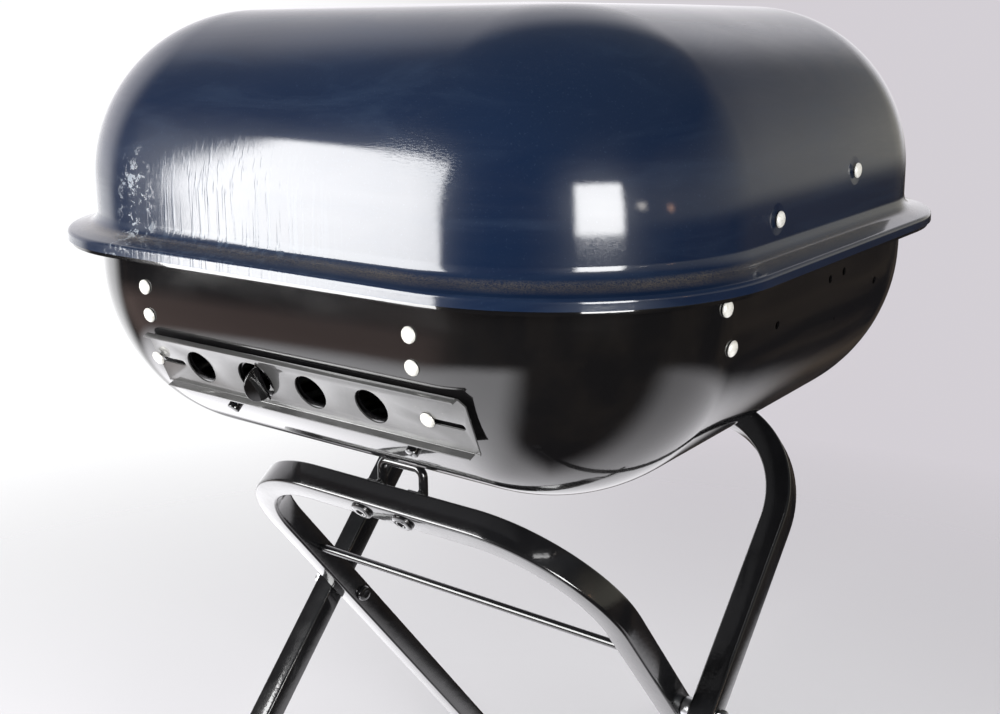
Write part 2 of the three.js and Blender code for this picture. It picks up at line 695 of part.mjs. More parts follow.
// A wire frame of rounded-square plan with rods along Y across it and two bearers along X below.
function wireGrid(half, corner, top, wire, rods, bearerY) {
  const z = top - wire;
  const path = levelRing(half - wire, corner - wire, z, 5);
  const sides = 6;
  const frame = loft(
    path.map((point, i) => {
      const before = path[(i + path.length - 1) % path.length];
      const after = path[(i + 1) % path.length];
      const out = new THREE.Vector3(after.y - before.y, before.x - after.x, 0).normalize();
      return Array.from({ length: sides }, (_, k) => {
        const turn = (k / sides) * Math.PI * 2;
        return point
          .clone()
          .addScaledVector(out, wire * Math.cos(turn))
          .addScaledVector(UNIT_Z, -wire * Math.sin(turn));
      });
    }),
    true,
  );
  const straight = half - corner;
  const reachAt = (across, middle) => {
    const past = Math.max(Math.abs(across) - straight, 0);
    const round = corner - wire;
    return middle - round + Math.sqrt(round * round - past * past);
  };
  const bars = [solid(frame)];
  const pitch = (2 * (half - wire)) / (rods + 1);
  for (let i = 1; i <= rods; i += 1) {
    const x = -(half - wire) + i * pitch;
    const reach = reachAt(x, half - wire - DEPTH_TRIM);
    bars.push(solid(rod(new THREE.Vector3(x, 0, z), UNIT_Y, -reach, reach, wire * 0.8, 4)));
  }
  for (const y of [-bearerY, bearerY]) {
    const reach = reachAt(y, half - wire);
    const under = new THREE.Vector3(0, y, z - wire * 0.9);
    bars.push(solid(rod(under, UNIT_X, -reach, reach, wire * 0.9, 4)));
  }
  return addAll(bars);
}

// ---- Hood hooks and handle ----

// How far in the hood's inner wall is at a height.
function hoodInside(z) {
  const up = Math.max(z - (HOOD_HEIGHT - HOOD_SHOULDER), 0);
  const round = HOOD_SHOULDER - Math.sqrt(HOOD_SHOULDER * HOOD_SHOULDER - up * up);
  return HOOD_HALF - HOOD_DRAFT - round - SHEET;
}

// A strap riveted inside the hood that reaches down inside the bowl's wall.
function hoodHook(y, rivetZ) {
  const out = (z) => hoodInside(z) - 2.5 * GAP - HOOK_SHEET / 2;
  const lowerOut = BOWL_HALF - SHEET - 2 * GAP - HOOK_SHEET / 2;
  const points = [
    [lowerOut - 5, HOOK_TIP - 1],
    [lowerOut - 1.5, HOOK_TIP + 4],
    [lowerOut, HOOK_TIP + 10],
    [lowerOut, 4],
    [out(14), 14],
    [out(rivetZ), rivetZ],
    [out(rivetZ + 9) - 0.2, rivetZ + 9],
  ];
  const strip = bentStrip(points, HOOK_SHEET, HOOK_WIDTH);
  strip.rotateZ(Math.PI / 2);
  strip.translate(0, y, 0);
  const hole = rod(new THREE.Vector3(0, y, rivetZ), UNIT_X, HOOD_HALF - 20, HOOD_HALF + 10, RIVET_HOLE);
  return solid(strip).subtract(solid(hole));
}

function hookPieces() {
  const group = new THREE.Group();
  HOOK_RIVETS.forEach(([y, z], i) => {
    const end = ["front", "rear"][i];
    group.add(piece(`hood_hook_${end}`, hoodHook(y, z), ZINC));
    const place = new THREE.Vector3(hoodInside(z) + SHEET, y, z);
    group.add(placedRivet(`hood_rivet_${end}`, place, UNIT_X, GAP + 1.2, GAP + 6.4));
  });
  return group;
}

const handleInner = -(HOOD_HALF + GAP); // where the posts stand on the hood's wall
const gripInner = handleInner - HANDLE_REACH - GAP;

function gripSolid() {
  const { thick, tall, long } = GRIP;
  const shape = new THREE.Shape();
  const round = 9;
  const [halfX, halfZ] = [thick / 2 - round, tall / 2 - round];
  shape.absarc(halfX, halfZ, round, 0, Math.PI / 2);
  shape.absarc(-halfX, halfZ, round, Math.PI / 2, Math.PI);
  shape.absarc(-halfX, -halfZ, round, Math.PI, 1.5 * Math.PI);
  shape.absarc(halfX, -halfZ, round, 1.5 * Math.PI, 2 * Math.PI);
  const bevel = 5;
  const grip = new THREE.ExtrudeGeometry(shape, {
    depth: long - 2 * bevel,
    curveSegments: 4,
    bevelThickness: bevel,
    bevelSize: bevel,
    bevelOffset: -bevel,
    bevelSegments: 2,
  });
  grip.translate(0, 0, -(long - 2 * bevel) / 2);
  grip.rotateX(Math.PI / 2);
  grip.translate(gripInner - thick / 2, 0, HANDLE_Z);
  const holes = [-HANDLE_POSTS_Y, HANDLE_POSTS_Y].map((y) =>
    solid(rod(new THREE.Vector3(gripInner, y, HANDLE_Z), UNIT_X, -14, 5, SCREW_HOLE)),
  );
  return subtractAll(solid(grip), holes);
}

function handlePieces() {
  const group = new THREE.Group();
  group.add(piece("hood_handle_grip", gripSolid(), PLASTIC));
  [-HANDLE_POSTS_Y, HANDLE_POSTS_Y].forEach((y, i) => {
    const end = ["front", "rear"][i];
    const at = new THREE.Vector3(handleInner, y, HANDLE_Z);
    const post = solid(rod(at, UNIT_X, -HANDLE_REACH, 0, POST_RADIUS)).subtract(
      solid(rod(at, UNIT_X, -HANDLE_REACH - 5, 5, SCREW_HOLE)),
    );
    group.add(piece(`hood_handle_post_${end}`, post, ZINC));
    const inside = new THREE.Vector3(-hoodInside(HANDLE_Z) + 1.6, y, HANDLE_Z);
    const length = inside.x - gripInner + 12;
    const shape = screw(SCREW_RADIUS, length, 5, 2.6);
    shape.applyMatrix4(standAlong(inside, UNIT_X.clone().negate()));
    group.add(piece(`hood_handle_screw_${end}`, shape, ZINC));
  });
  return group;
}

// ---- Stand ----

// A loop's own frame: x to the right, along up its legs from the pivot, and out square to its plane.
function loopFrame({ tilt, side }) {
  const angle = radians(tilt);
  const along = new THREE.Vector3(0, side * Math.cos(angle), Math.sin(angle));
  const out = new THREE.Vector3().crossVectors(UNIT_X, along);
  return frameAt(new THREE.Vector3(0, PIVOT.y, PIVOT.z), UNIT_X, along, out);
}

// A square section with its corners cut, as [across, out] pairs.
function tubeSection(width, round) {
  const half = width / 2;
  const flat = half - round;
  if (round === 0) {
    return [
      [half, half],
      [-half, half],
      [-half, -half],
      [half, -half],
    ];
  }
  return [
    [half, flat],
    [flat, half],
    [-flat, half],
    [-half, flat],
    [-half, -flat],
    [-flat, -half],
    [flat, -half],
    [half, -flat],
  ];
}

// Stations along a loop from the left foot over the top bar to the right foot, each the point and
// the direction across the tube in the loop's plane.
function loopStations({ half, toBar, bend, toEnd }) {
  const stations = [{ x: -half, along: -toEnd, turn: Math.PI }];
  const steps = 7;
  for (const [middle, start] of [
    [-half + bend, Math.PI],
    [half - bend, Math.PI / 2],
  ]) {
    for (let i = 0; i <= steps; i += 1) {
      const turn = start - (i / steps) * (Math.PI / 2);
      const x = middle + bend * Math.cos(turn);
      const along = toBar - bend + bend * Math.sin(turn);
      stations.push({ x, along, turn });
    }
  }
  stations.push({ x: half, along: -toEnd, turn: 0 });
  return stations;
}

function tubeSkin(loop, section, extra) {
  const stations = loopStations({ ...loop, toEnd: loop.toEnd + extra });
  return solid(
    loft(
      stations.map(({ x, along, turn }) =>
        section.map(
          ([across, out]) =>
            new THREE.Vector3(x + across * Math.cos(turn), along + across * Math.sin(turn), out),
        ),
      ),
    ),
  );
}

function tubeLoop(loop, extraHoles) {
  const outer = tubeSkin(loop, tubeSection(TUBE, TUBE_ROUND), 0);
  const inner = tubeSkin(loop, tubeSection(TUBE - 2 * TUBE_SHEET, 0), 5);
  const origin = new THREE.Vector3();
  const holes = [solid(rod(origin, UNIT_X, -loop.half - 20, -loop.half + 20, BOLT_HOLE))];
  holes.push(solid(rod(origin, UNIT_X, loop.half - 20, loop.half + 20, BOLT_HOLE)));
  const body = subtractAll(outer.subtract(inner), [...holes, ...extraHoles]);
  return body.transform(loopFrame(loop).elements);
}

// A plastic boot over the end of a leg, cut level where it stands on the floor.
function foot(loop, hand) {
  const { half, toEnd } = loop;
  const middle = hand * half;
  const boot = boxSolid(
    [middle - FOOT_HALF, -toEnd - 24, -FOOT_HALF],
    [middle + FOOT_HALF, -toEnd + FOOT_SOCKET, FOOT_HALF],
  );
  const socketHalf = TUBE / 2 + GAP;
  const socket = boxSolid(
    [middle - socketHalf, -toEnd - GAP, -socketHalf],
    [middle + socketHalf, -toEnd + FOOT_SOCKET + 5, socketHalf],
  );
  const below = boxSolid([-400, -600, -RIM_HEIGHT - 100], [400, 600, -RIM_HEIGHT]);
  return boot.subtract(socket).transform(loopFrame(loop).elements).subtract(below);
}

const handName = (hand) => (hand < 0 ? "left" : "right");

// The bolt, spacer and nut that join a front leg to a rear leg.
function pivotPieces(hand) {
  const group = new THREE.Group();
  const outward = UNIT_X.clone().multiplyScalar(hand);
  const frontInner = FRONT_LOOP.half - TUBE / 2;
  const frontOuter = FRONT_LOOP.half + TUBE / 2;
  const rearInner = REAR_LOOP.half - TUBE / 2;
  const rearOuter = REAR_LOOP.half + TUBE / 2;
  const axis = new THREE.Vector3(0, PIVOT.y, PIVOT.z);
  const headAt = axis.clone().addScaledVector(outward, frontInner - GAP);
  const bolt = screw(BOLT_RADIUS, rearOuter - frontInner + 9, 6.6, 4.2);
  bolt.applyMatrix4(standAlong(headAt, outward));
  group.add(piece(`pivot_bolt_${handName(hand)}`, bolt, BLACK_PAINT));
  const ring = (from, to, radius, sides) =>
    solid(rod(axis, outward, from, to, radius, sides)).subtract(
      solid(rod(axis, outward, from - 1, to + 1, BOLT_HOLE)),
    );
  const spacer = ring(frontOuter + GAP, rearInner - GAP, 7.5, 12);
  group.add(piece(`pivot_spacer_${handName(hand)}`, spacer, ZINC));
  const nut = ring(rearOuter + GAP, rearOuter + GAP + 5.6, 6.4, 6);
  group.add(piece(`pivot_nut_${handName(hand)}`, nut, ZINC));
  return group;
}

// The U-shaped rod under the bowl: a cross member along X, two legs down to the front loop's top bar
// and a flat pad on each leg that lies on the bar's back face.
function saddle() {
  const top = BOWL_STRAIGHT - BOWL_ROUND_DOWN - SADDLE_CLEAR - SADDLE_ROD;
  const bottom = top - SADDLE_LEG;
  const path = [[-SADDLE_X, bottom]];
  for (const [middle, start] of [
    [-SADDLE_X + SADDLE_BEND, Math.PI],
    [SADDLE_X - SADDLE_BEND, Math.PI / 2],
  ]) {
    for (let i = 0; i <= 5; i += 1) {
      const turn = start - (i / 5) * (Math.PI / 2);
      path.push([middle + SADDLE_BEND * Math.cos(turn), top - SADDLE_BEND + SADDLE_BEND * Math.sin(turn)]);
    }
  }
  path.push([SADDLE_X, bottom]);
  const sides = 12;
  const rings = path.map(([x, z], i) => {
    const [xBefore, zBefore] = path[Math.max(i - 1, 0)];
    const [xAfter, zAfter] = path[Math.min(i + 1, path.length - 1)];
    const out = new THREE.Vector3(zBefore - zAfter, 0, xAfter - xBefore).normalize();
    return Array.from({ length: sides }, (_, k) => {
      const turn = (k / sides) * Math.PI * 2;
      return new THREE.Vector3(x, SADDLE_Y, z)
        .addScaledVector(out, SADDLE_ROD * Math.cos(turn))
        .addScaledVector(UNIT_Y, -SADDLE_ROD * Math.sin(turn));
    });
  });
  const toLoop = loopFrame(FRONT_LOOP).elements;
  const { toBar } = FRONT_LOOP;
  const { half, tall, sheet } = SADDLE_PAD;
  const barBack = TUBE / 2 + GAP;
  const far = 2 * SADDLE_LEG;
  const inFront = boxSolid([-far, toBar - far, -barBack], [far, toBar + far, far]).transform(toLoop);
  const below = boxSolid([-far, toBar - far, -far], [far, toBar - tall, far]).transform(toLoop);
  const pads = [-SADDLE_X, SADDLE_X].map((x) =>
    boxSolid([x - half, toBar - tall, -barBack - sheet], [x + half, toBar + tall, -barBack]).transform(toLoop),
  );
  const holes = saddleScrewHoles().map((hole) => hole.transform(toLoop));
  const legs = solid(loft(rings)).subtract(inFront).subtract(below);
  return subtractAll(addAll([legs, ...pads]), holes);
}

// Holes through the front loop's top bar, in the loop's own frame.
const saddleScrewHoles = () =>
  [-SADDLE_X, SADDLE_X].map((x) =>
    solid(rod(new THREE.Vector3(x, FRONT_LOOP.toBar, 0), UNIT_Z, -TUBE, TUBE, SCREW_HOLE)),
  );

function saddlePieces() {
  const group = new THREE.Group();
  group.add(piece("front_saddle", saddle(), BLACK_PAINT));
  const toLoop = loopFrame(FRONT_LOOP);
  [-SADDLE_X, SADDLE_X].forEach((x, i) => {
    const head = new THREE.Vector3(x, FRONT_LOOP.toBar, TUBE / 2 + GAP);
    const shape = screw(SCREW_RADIUS, SADDLE_SCREW.length, SADDLE_SCREW.head, SADDLE_SCREW.tall);
    shape.applyMatrix4(standAlong(head, UNIT_Z.clone().negate()));
    shape.applyMatrix4(toLoop);
    group.add(piece(`saddle_screw_${["left", "right"][i]}`, shape, BLACK_PAINT));
  });
  return group;
}

// A clamp under the bowl: a flange riveted to the floor and a ring that the rear top bar turns in.
function barClamp(x) {
  const floorZ = BOWL_STRAIGHT - BOWL_ROUND_DOWN;
  const top = floorZ - GAP;
  const tilt = radians(REAR_LOOP.tilt);
  const barY = PIVOT.y + REAR_LOOP.toBar * Math.cos(tilt);
  const barZ = PIVOT.z + REAR_LOOP.toBar * Math.sin(tilt);
  const centre = new THREE.Vector3(x, barY, barZ);
  const halfWidth = CLAMP_WIDTH / 2;
  const ring = solid(rod(centre, UNIT_X, -halfWidth, halfWidth, CLAMP_BORE + CLAMP_SHEET, 24));
  const flange = boxSolid(
    [x - halfWidth, CLAMP_RIVETS_Y[0] - 8, top - CLAMP_SHEET],
    [x + halfWidth, barY - 4, top],
  );
  const neck = boxSolid(
    [x - halfWidth, barY - CLAMP_BORE - CLAMP_SHEET, barZ],
    [x + halfWidth, barY - CLAMP_BORE + 1, top - CLAMP_SHEET / 2],
  );
  const bore = solid(rod(centre, UNIT_X, -halfWidth - 5, halfWidth + 5, CLAMP_BORE, 24));
  const holes = CLAMP_RIVETS_Y.map((y) =>
    solid(rod(new THREE.Vector3(x, y, top), UNIT_Z, -10, 10, RIVET_HOLE, 8)),
  );
  return subtractAll(addAll([ring, flange, neck]), [bore, ...holes]);
}

function clampPieces() {
  const group = new THREE.Group();
  const floorZ = BOWL_STRAIGHT - BOWL_ROUND_DOWN;
  const down = UNIT_Z.clone().negate();
  for (const hand of [-1, 1]) {
    const x = hand * CLAMP_X;
    group.add(piece(`rear_clamp_${handName(hand)}`, barClamp(x), ZINC));
    CLAMP_RIVETS_Y.forEach((y, i) => {
      const lift = GAP + CLAMP_SHEET + GAP;
      const place = new THREE.Vector3(x, y, floorZ);
      const name = `clamp_rivet_${handName(hand)}_${["a", "b"][i]}`;
      group.add(placedRivet(name, place, down, lift, lift + SHEET + GAP));
    });
  }
  return group;
}

function standPieces() {
  const group = new THREE.Group();
  const rodHoles = [-1, 1].map((hand) => {
    const inner = FRONT_LOOP.half - TUBE / 2;
    const at = new THREE.Vector3(0, ROD_ABOVE_PIVOT, 0);
    const span = [hand * (inner - 4), hand * (inner + 4)].sort((a, b) => a - b);
    return solid(rod(at, UNIT_X, ...span, ROD_RADIUS + GAP));
  });
  const frontHoles = [...rodHoles, ...saddleScrewHoles()];
  group.add(piece("stand_loop_front", tubeLoop(FRONT_LOOP, frontHoles), BLACK_PAINT));
  group.add(piece("stand_loop_rear", tubeLoop(REAR_LOOP, []), BLACK_PAINT));
  const rodReach = FRONT_LOOP.half - TUBE / 2 + 3;
  const crossRod = rod(new THREE.Vector3(0, ROD_ABOVE_PIVOT, 0), UNIT_X, -rodReach, rodReach, ROD_RADIUS);
  crossRod.applyMatrix4(loopFrame(FRONT_LOOP));
  group.add(piece("stand_cross_rod", crossRod, BLACK_PAINT));
  for (const hand of [-1, 1]) {
    group.add(piece(`foot_front_loop_${handName(hand)}`, foot(FRONT_LOOP, hand), PLASTIC));
    group.add(piece(`foot_rear_loop_${handName(hand)}`, foot(REAR_LOOP, hand), PLASTIC));
    group.add(pivotPieces(hand));
  }
  group.add(saddlePieces(), clampPieces());
  return group;
}

// ---- The grill ----

const grill = new THREE.Group();
grill.add(piece("hood_shell", hoodShell(), NAVY_ENAMEL));
grill.add(piece("bowl_shell", bowlShell(), BLACK_ENAMEL));
grill.add(hookPieces(), handlePieces());
grill.add(damperPieces(0, "front"), damperPieces(2, "rear"));
grill.add(bracketPieces());
const cookingGrid = wireGrid(GRID_HALF, GRID_CORNER, GRID_TOP, GRID_WIRE, GRID_RODS, 90);
grill.add(piece("cooking_grid", cookingGrid, CHROME));
const charcoalGrate = wireGrid(GRATE_HALF, GRATE_CORNER, GRATE_Z, GRATE_WIRE, GRATE_RODS, 80);
grill.add(piece("charcoal_grate", charcoalGrate, ZINC));
grill.add(standPieces());

const bounds = new THREE.Box3().setFromObject(grill);
const middle = bounds.getCenter(new THREE.Vector3());
grill.position.set(-middle.x, -middle.y, RIM_HEIGHT);

export default grill;
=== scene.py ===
"""Portable charcoal grill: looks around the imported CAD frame.

Shapes are worked out in millimetres around the middle of the hood's rim, with z = 0 at the top of
its skirt, and moved into the row frame when they become meshes.
"""

import itertools
import json
import math

import bmesh
import bpy
from mathutils import Matrix, Vector


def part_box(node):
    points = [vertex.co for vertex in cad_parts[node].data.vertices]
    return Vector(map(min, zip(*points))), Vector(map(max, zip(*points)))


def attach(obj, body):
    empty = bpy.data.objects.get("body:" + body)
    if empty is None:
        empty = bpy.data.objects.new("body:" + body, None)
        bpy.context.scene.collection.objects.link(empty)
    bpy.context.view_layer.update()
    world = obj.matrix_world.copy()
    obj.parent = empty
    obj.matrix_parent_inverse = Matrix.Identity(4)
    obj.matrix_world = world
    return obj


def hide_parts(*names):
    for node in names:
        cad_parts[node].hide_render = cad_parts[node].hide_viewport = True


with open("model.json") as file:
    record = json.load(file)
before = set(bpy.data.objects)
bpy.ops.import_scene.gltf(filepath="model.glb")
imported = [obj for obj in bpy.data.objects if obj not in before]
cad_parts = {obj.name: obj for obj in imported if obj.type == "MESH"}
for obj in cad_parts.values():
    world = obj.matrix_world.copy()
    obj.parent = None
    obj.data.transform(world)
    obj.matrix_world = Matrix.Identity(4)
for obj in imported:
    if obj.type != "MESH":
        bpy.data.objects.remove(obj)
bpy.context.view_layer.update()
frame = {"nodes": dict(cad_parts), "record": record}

MM = 0.001
SKIRT_DROP, SKIRT_FLARE = 6.7, 0.042
RIM_LOW, RIM_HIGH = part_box("hood_shell")
TO_ROW = Matrix.Translation(
    ((RIM_LOW.x + RIM_HIGH.x) / 2, (RIM_LOW.y + RIM_HIGH.y) / 2, RIM_LOW.z + SKIRT_DROP * MM)
) @ Matrix.Scale(MM, 4)

# Driving dimensions, as in the CAD
SHEET = 1.2
GAP = 0.3
DEPTH_TRIM = 1.2
FLOOR_Z = -640.0
RIM_HALF, RIM_CORNER = 257.0, 138.0
HOOD_HALF, HOOD_CORNER = 240.2, 130.0
HOOD_DRAFT, HOOD_SHOULDER, HOOD_HEIGHT, HOOD_CROWN = 0.3, 113.5, 139.3, 3.4
BOWL_HALF, BOWL_CORNER = 237.4, 122.0
BOWL_STRAIGHT, BOWL_OUT, BOWL_DOWN = -27.0, 118.0, 120.0
BOWL_FLOOR = BOWL_STRAIGHT - BOWL_DOWN
LIP_HALF, LIP_BOTTOM = 255.0, -9.4

FRONT_SHIFT = -3.0
DAMPER_Z = -74.5
DAMPER_BACK, DAMPER_SHEET = 1.0, 1.0
DAMPER_U = (-116.0, 141.0)
DAMPER_V = (-21.9, 16.5)
DAMPER_FLANGES, DAMPER_CHAMFER = (5.0, 4.0), 6.0
VENT_V, VENT_RADIUS, VENT_PITCH = -3.5, 11.8, 48.0
VENTS_U = [step * VENT_PITCH for step in (-1.5, -0.5, 0.5, 1.5)]
DAMPER_TRAVEL, DAMPER_RIVET_X, SLOT_HALF = 24.0, 113.5, 1.95
CUT_THROUGH = (-5, 12)
TAB_VENT, TAB_VENT_SHIFT, TAB_VENT_GROWN = 1, 1.8, 0.8
TAB_OFFSET, TAB_RADIUS, TAB_REACH, TAB_LEAN = 8.0, 11.3, 14.0, 10.0

RIVET_HEAD, RIVET_SHANK = 4.75, 1.6
BRACKET_X = 109.5
BRACKET_RIVETS_Z = (-29.8, -48.2)
SIDE_RIVETS = ((-128.1, -19.1), (-119.5, -42.9))
HOOK_RIVETS = ((-76.2, 22.5), (37.9, 38.7))
SPARE_HOLES = (
    (13.2, -26.5, 2.6), (35.2, -25.1, 2.6), (93.1, -40.6, 2.6), (-61.4, -41.3, 2.6), (32.4, -55.8, 1.3),
)
STUDS = ((-70.1, -107.7), (82.0, -106.9))
STUD_RADIUS, STUD_REACH = 4.2, 4.0

GRID = dict(half=221.0, corner=104.0, top=-18.5, wire=2.5, rods=21, bearer_y=90.0)
GRATE = dict(half=192.0, corner=78.0, top=-112.0, wire=3.0, rods=11, bearer_y=80.0)

TUBE, TUBE_ROUND, TUBE_SHEET = 19.05, 2.2, 1.2
PIVOT_Y, PIVOT_Z = -18.3, -335.3
FRONT_LOOP = dict(half=153.4, tilt=51.9, to_bar=194.9, bend=81.5, to_end=377.0, side=-1)
REAR_LOOP = dict(half=179.4, tilt=46.56, to_bar=230.5, bend=83.9, to_end=407.0, side=1)
ROD_ABOVE_PIVOT, ROD_RADIUS = 74.0, 3.1
SADDLE_X, SADDLE_Y, SADDLE_ROD, SADDLE_BEND, SADDLE_LEG = 18.3, -124.9, 3.2, 6.0, 38.0
SADDLE_CLEAR, SADDLE_PAD_HALF, SADDLE_PAD_TALL, SADDLE_PAD_SHEET = 7.5, 7.5, 5.0, 2.2
CLAMP_X, CLAMP_SHEET = 60.0, 2.4
CLAMP_RIVETS_Y = (102.0, 114.0)
HANDLE_Z, HANDLE_REACH, HANDLE_POSTS_Y = 24.0, 33.0, 64.0
GRIP_THICK, GRIP_TALL, GRIP_LONG, GRIP_END = 25.0, 23.0, 172.0, 7.0
BOOT_HALF, BOOT_GROOVE, BOOT_TALL, BOOT_ROUND = 12.3, 0.7, 28.0, 3.0

HANDS = ((-1, "left"), (1, "right"))
SIDE_ENDS = ((0, "front"), (2, "rear"))
X, Y, Z = Vector((1, 0, 0)), Vector((0, 1, 0)), Vector((0, 0, 1))
CREASE = math.radians(32)
ON_FRONT_LOOP = ("front_leg_loop", "stand_paint")  # body and material slot
CORNER_STEPS, SIDE_STEPS = 22, 8


# ---- Material nodes ----


class Nodes:
    """Short calls that add nodes to a tree, all worked from one place or direction."""

    def __init__(self, tree, place):
        self.tree = tree
        self.place = tree.nodes.new("ShaderNodeTexCoord").outputs[place]

    def link(self, source, target):
        self.tree.links.new(source, target)

    def stretched(self, scale, turn=(0, 0, 0)):
        node = self.tree.nodes.new("ShaderNodeMapping")
        node.inputs["Scale"].default_value = scale
        node.inputs["Rotation"].default_value = turn
        self.link(self.place, node.inputs["Vector"])
        return node.outputs[0]

    def noise(self, scale, detail=3.0, rough=0.55, vector=None, distort=0.0):
        node = self.tree.nodes.new("ShaderNodeTexNoise")
        node.inputs["Scale"].default_value = scale
        node.inputs["Detail"].default_value = detail
        node.inputs["Roughness"].default_value = rough
        node.inputs["Distortion"].default_value = distort
        self.link(vector or self.place, node.inputs["Vector"])
        return node.outputs[0]

    def cells(self, scale):
        node = self.tree.nodes.new("ShaderNodeTexVoronoi")
        node.inputs["Scale"].default_value = scale
        self.link(self.place, node.inputs["Vector"])
        return node.outputs["Distance"]

    def steps(self, source, low, high, to_low=0.0, to_high=1.0, soft=False):
        node = self.tree.nodes.new("ShaderNodeMapRange")
        node.clamp = True
        node.interpolation_type = "SMOOTHSTEP" if soft else "LINEAR"
        limits = {"From Min": low, "From Max": high, "To Min": to_low, "To Max": to_high}
        for name, value in limits.items():
            node.inputs[name].default_value = value
        self.link(source, node.inputs["Value"])
        return node.outputs[0]

    def math(self, kind, a, b=None):
        node = self.tree.nodes.new("ShaderNodeMath")
        node.operation = kind
        for slot, value in zip(node.inputs, (a, b)):
            if value is None:
                continue
            if isinstance(value, (int, float)):
                slot.default_value = value
            else:
                self.link(value, slot)
        return node.outputs[0]

    def times(self, product, *factors):
        for factor in factors:
            product = self.math("MULTIPLY", product, factor)
        return product

    def patches(self, scale, detail, rough, low, high, to_low=0.0, to_high=1.0):
        """Noise spread out between two of its levels."""
        return self.steps(self.noise(scale, detail, rough), low, high, to_low, to_high)

    def vector(self, kind, source, value=(0, 0, 0)):
        node = self.tree.nodes.new("ShaderNodeVectorMath")
        node.operation = kind
        self.link(source, node.inputs[0])
        node.inputs[1].default_value = value
        return node.outputs

    def along(self, axis):
        """How far the place or direction reaches along an axis."""
        return self.vector("DOT_PRODUCT", self.place, axis)["Value"]

    def ball(self, centre, radius, stretch=(1, 1, 1)):
        """1 inside a soft-edged blob around a place in the row frame, 0 outside it."""
        offset = self.vector("SUBTRACT", self.place, centre)["Vector"]
        scaled = self.vector("MULTIPLY", offset, stretch)["Vector"]
        return self.steps(self.vector("LENGTH", scaled)["Value"], radius, radius * 0.35)

    def mix(self, amount, a, b):
        node = self.tree.nodes.new("ShaderNodeMix")
        node.data_type = "RGBA"
        for slot, value in ((node.inputs[0], amount), (node.inputs[6], a), (node.inputs[7], b)):
            if isinstance(value, (int, float)):
                slot.default_value = value
            elif isinstance(value, tuple):
                slot.default_value = (*value, 1.0)
            else:
                self.link(value, slot)
        return node.outputs[2]

    def layered(self, base, *layers):
        """Layers of (amount, colour) laid over a base colour one after another."""
        for amount, colour in layers:
            base = self.mix(amount, base, colour)
        return base


class Paint(Nodes):
    """A principled material."""

    def __init__(self, name):
        self.material = bpy.data.materials.new(name)
        self.material.use_nodes = True
        tree = self.material.node_tree
        tree.nodes.clear()
        self.shader = tree.nodes.new("ShaderNodeBsdfPrincipled")
        self.output = tree.nodes.new("ShaderNodeOutputMaterial")
        tree.links.new(self.shader.outputs[0], self.output.inputs[0])
        super().__init__(tree, "Object")

    def set(self, **values):
        for name, value in values.items():
            self.shader.inputs[name.replace("_", " ")].default_value = value

    def colour(self, source):
        self.link(source, self.shader.inputs["Base Color"])

    def roughness(self, source):
        self.link(source, self.shader.inputs["Roughness"])

    def bumps(self, *layers):
        """Layers of (height source, depth in metres), added up on one normal."""
        normal = None
        for height, depth in layers:
            node = self.tree.nodes.new("ShaderNodeBump")
            node.inputs["Distance"].default_value = depth
            self.link(height, node.inputs["Height"])
            if normal is not None:
                self.link(normal, node.inputs["Normal"])
            normal = node.outputs[0]
        self.link(normal, self.shader.inputs["Normal"])
        self.link(normal, self.shader.inputs["Coat Normal"])


def row_point(x, y, z):
    """A place given in millimetres, in the row frame."""
    return tuple(TO_ROW @ Vector((x, y, z)))


def hood_rivet_x(z):
    up = max(z - (HOOD_HEIGHT - HOOD_SHOULDER), 0)
    return HOOD_HALF - HOOD_DRAFT - HOOD_SHOULDER + math.sqrt(HOOD_SHOULDER**2 - up * up)


def hood_rivet_place(y, z):
    return row_point(hood_rivet_x(z), y, z)


def enamel_ripple(paint):
    """Height layers of fired enamel: slow waves in the sheet and a fine orange peel."""
    waves = paint.noise(7.0, 1.0, 0.4)
    peel = paint.noise(420.0, 2.0, 0.5)
    return (waves, 0.0012), (peel, 0.000008)


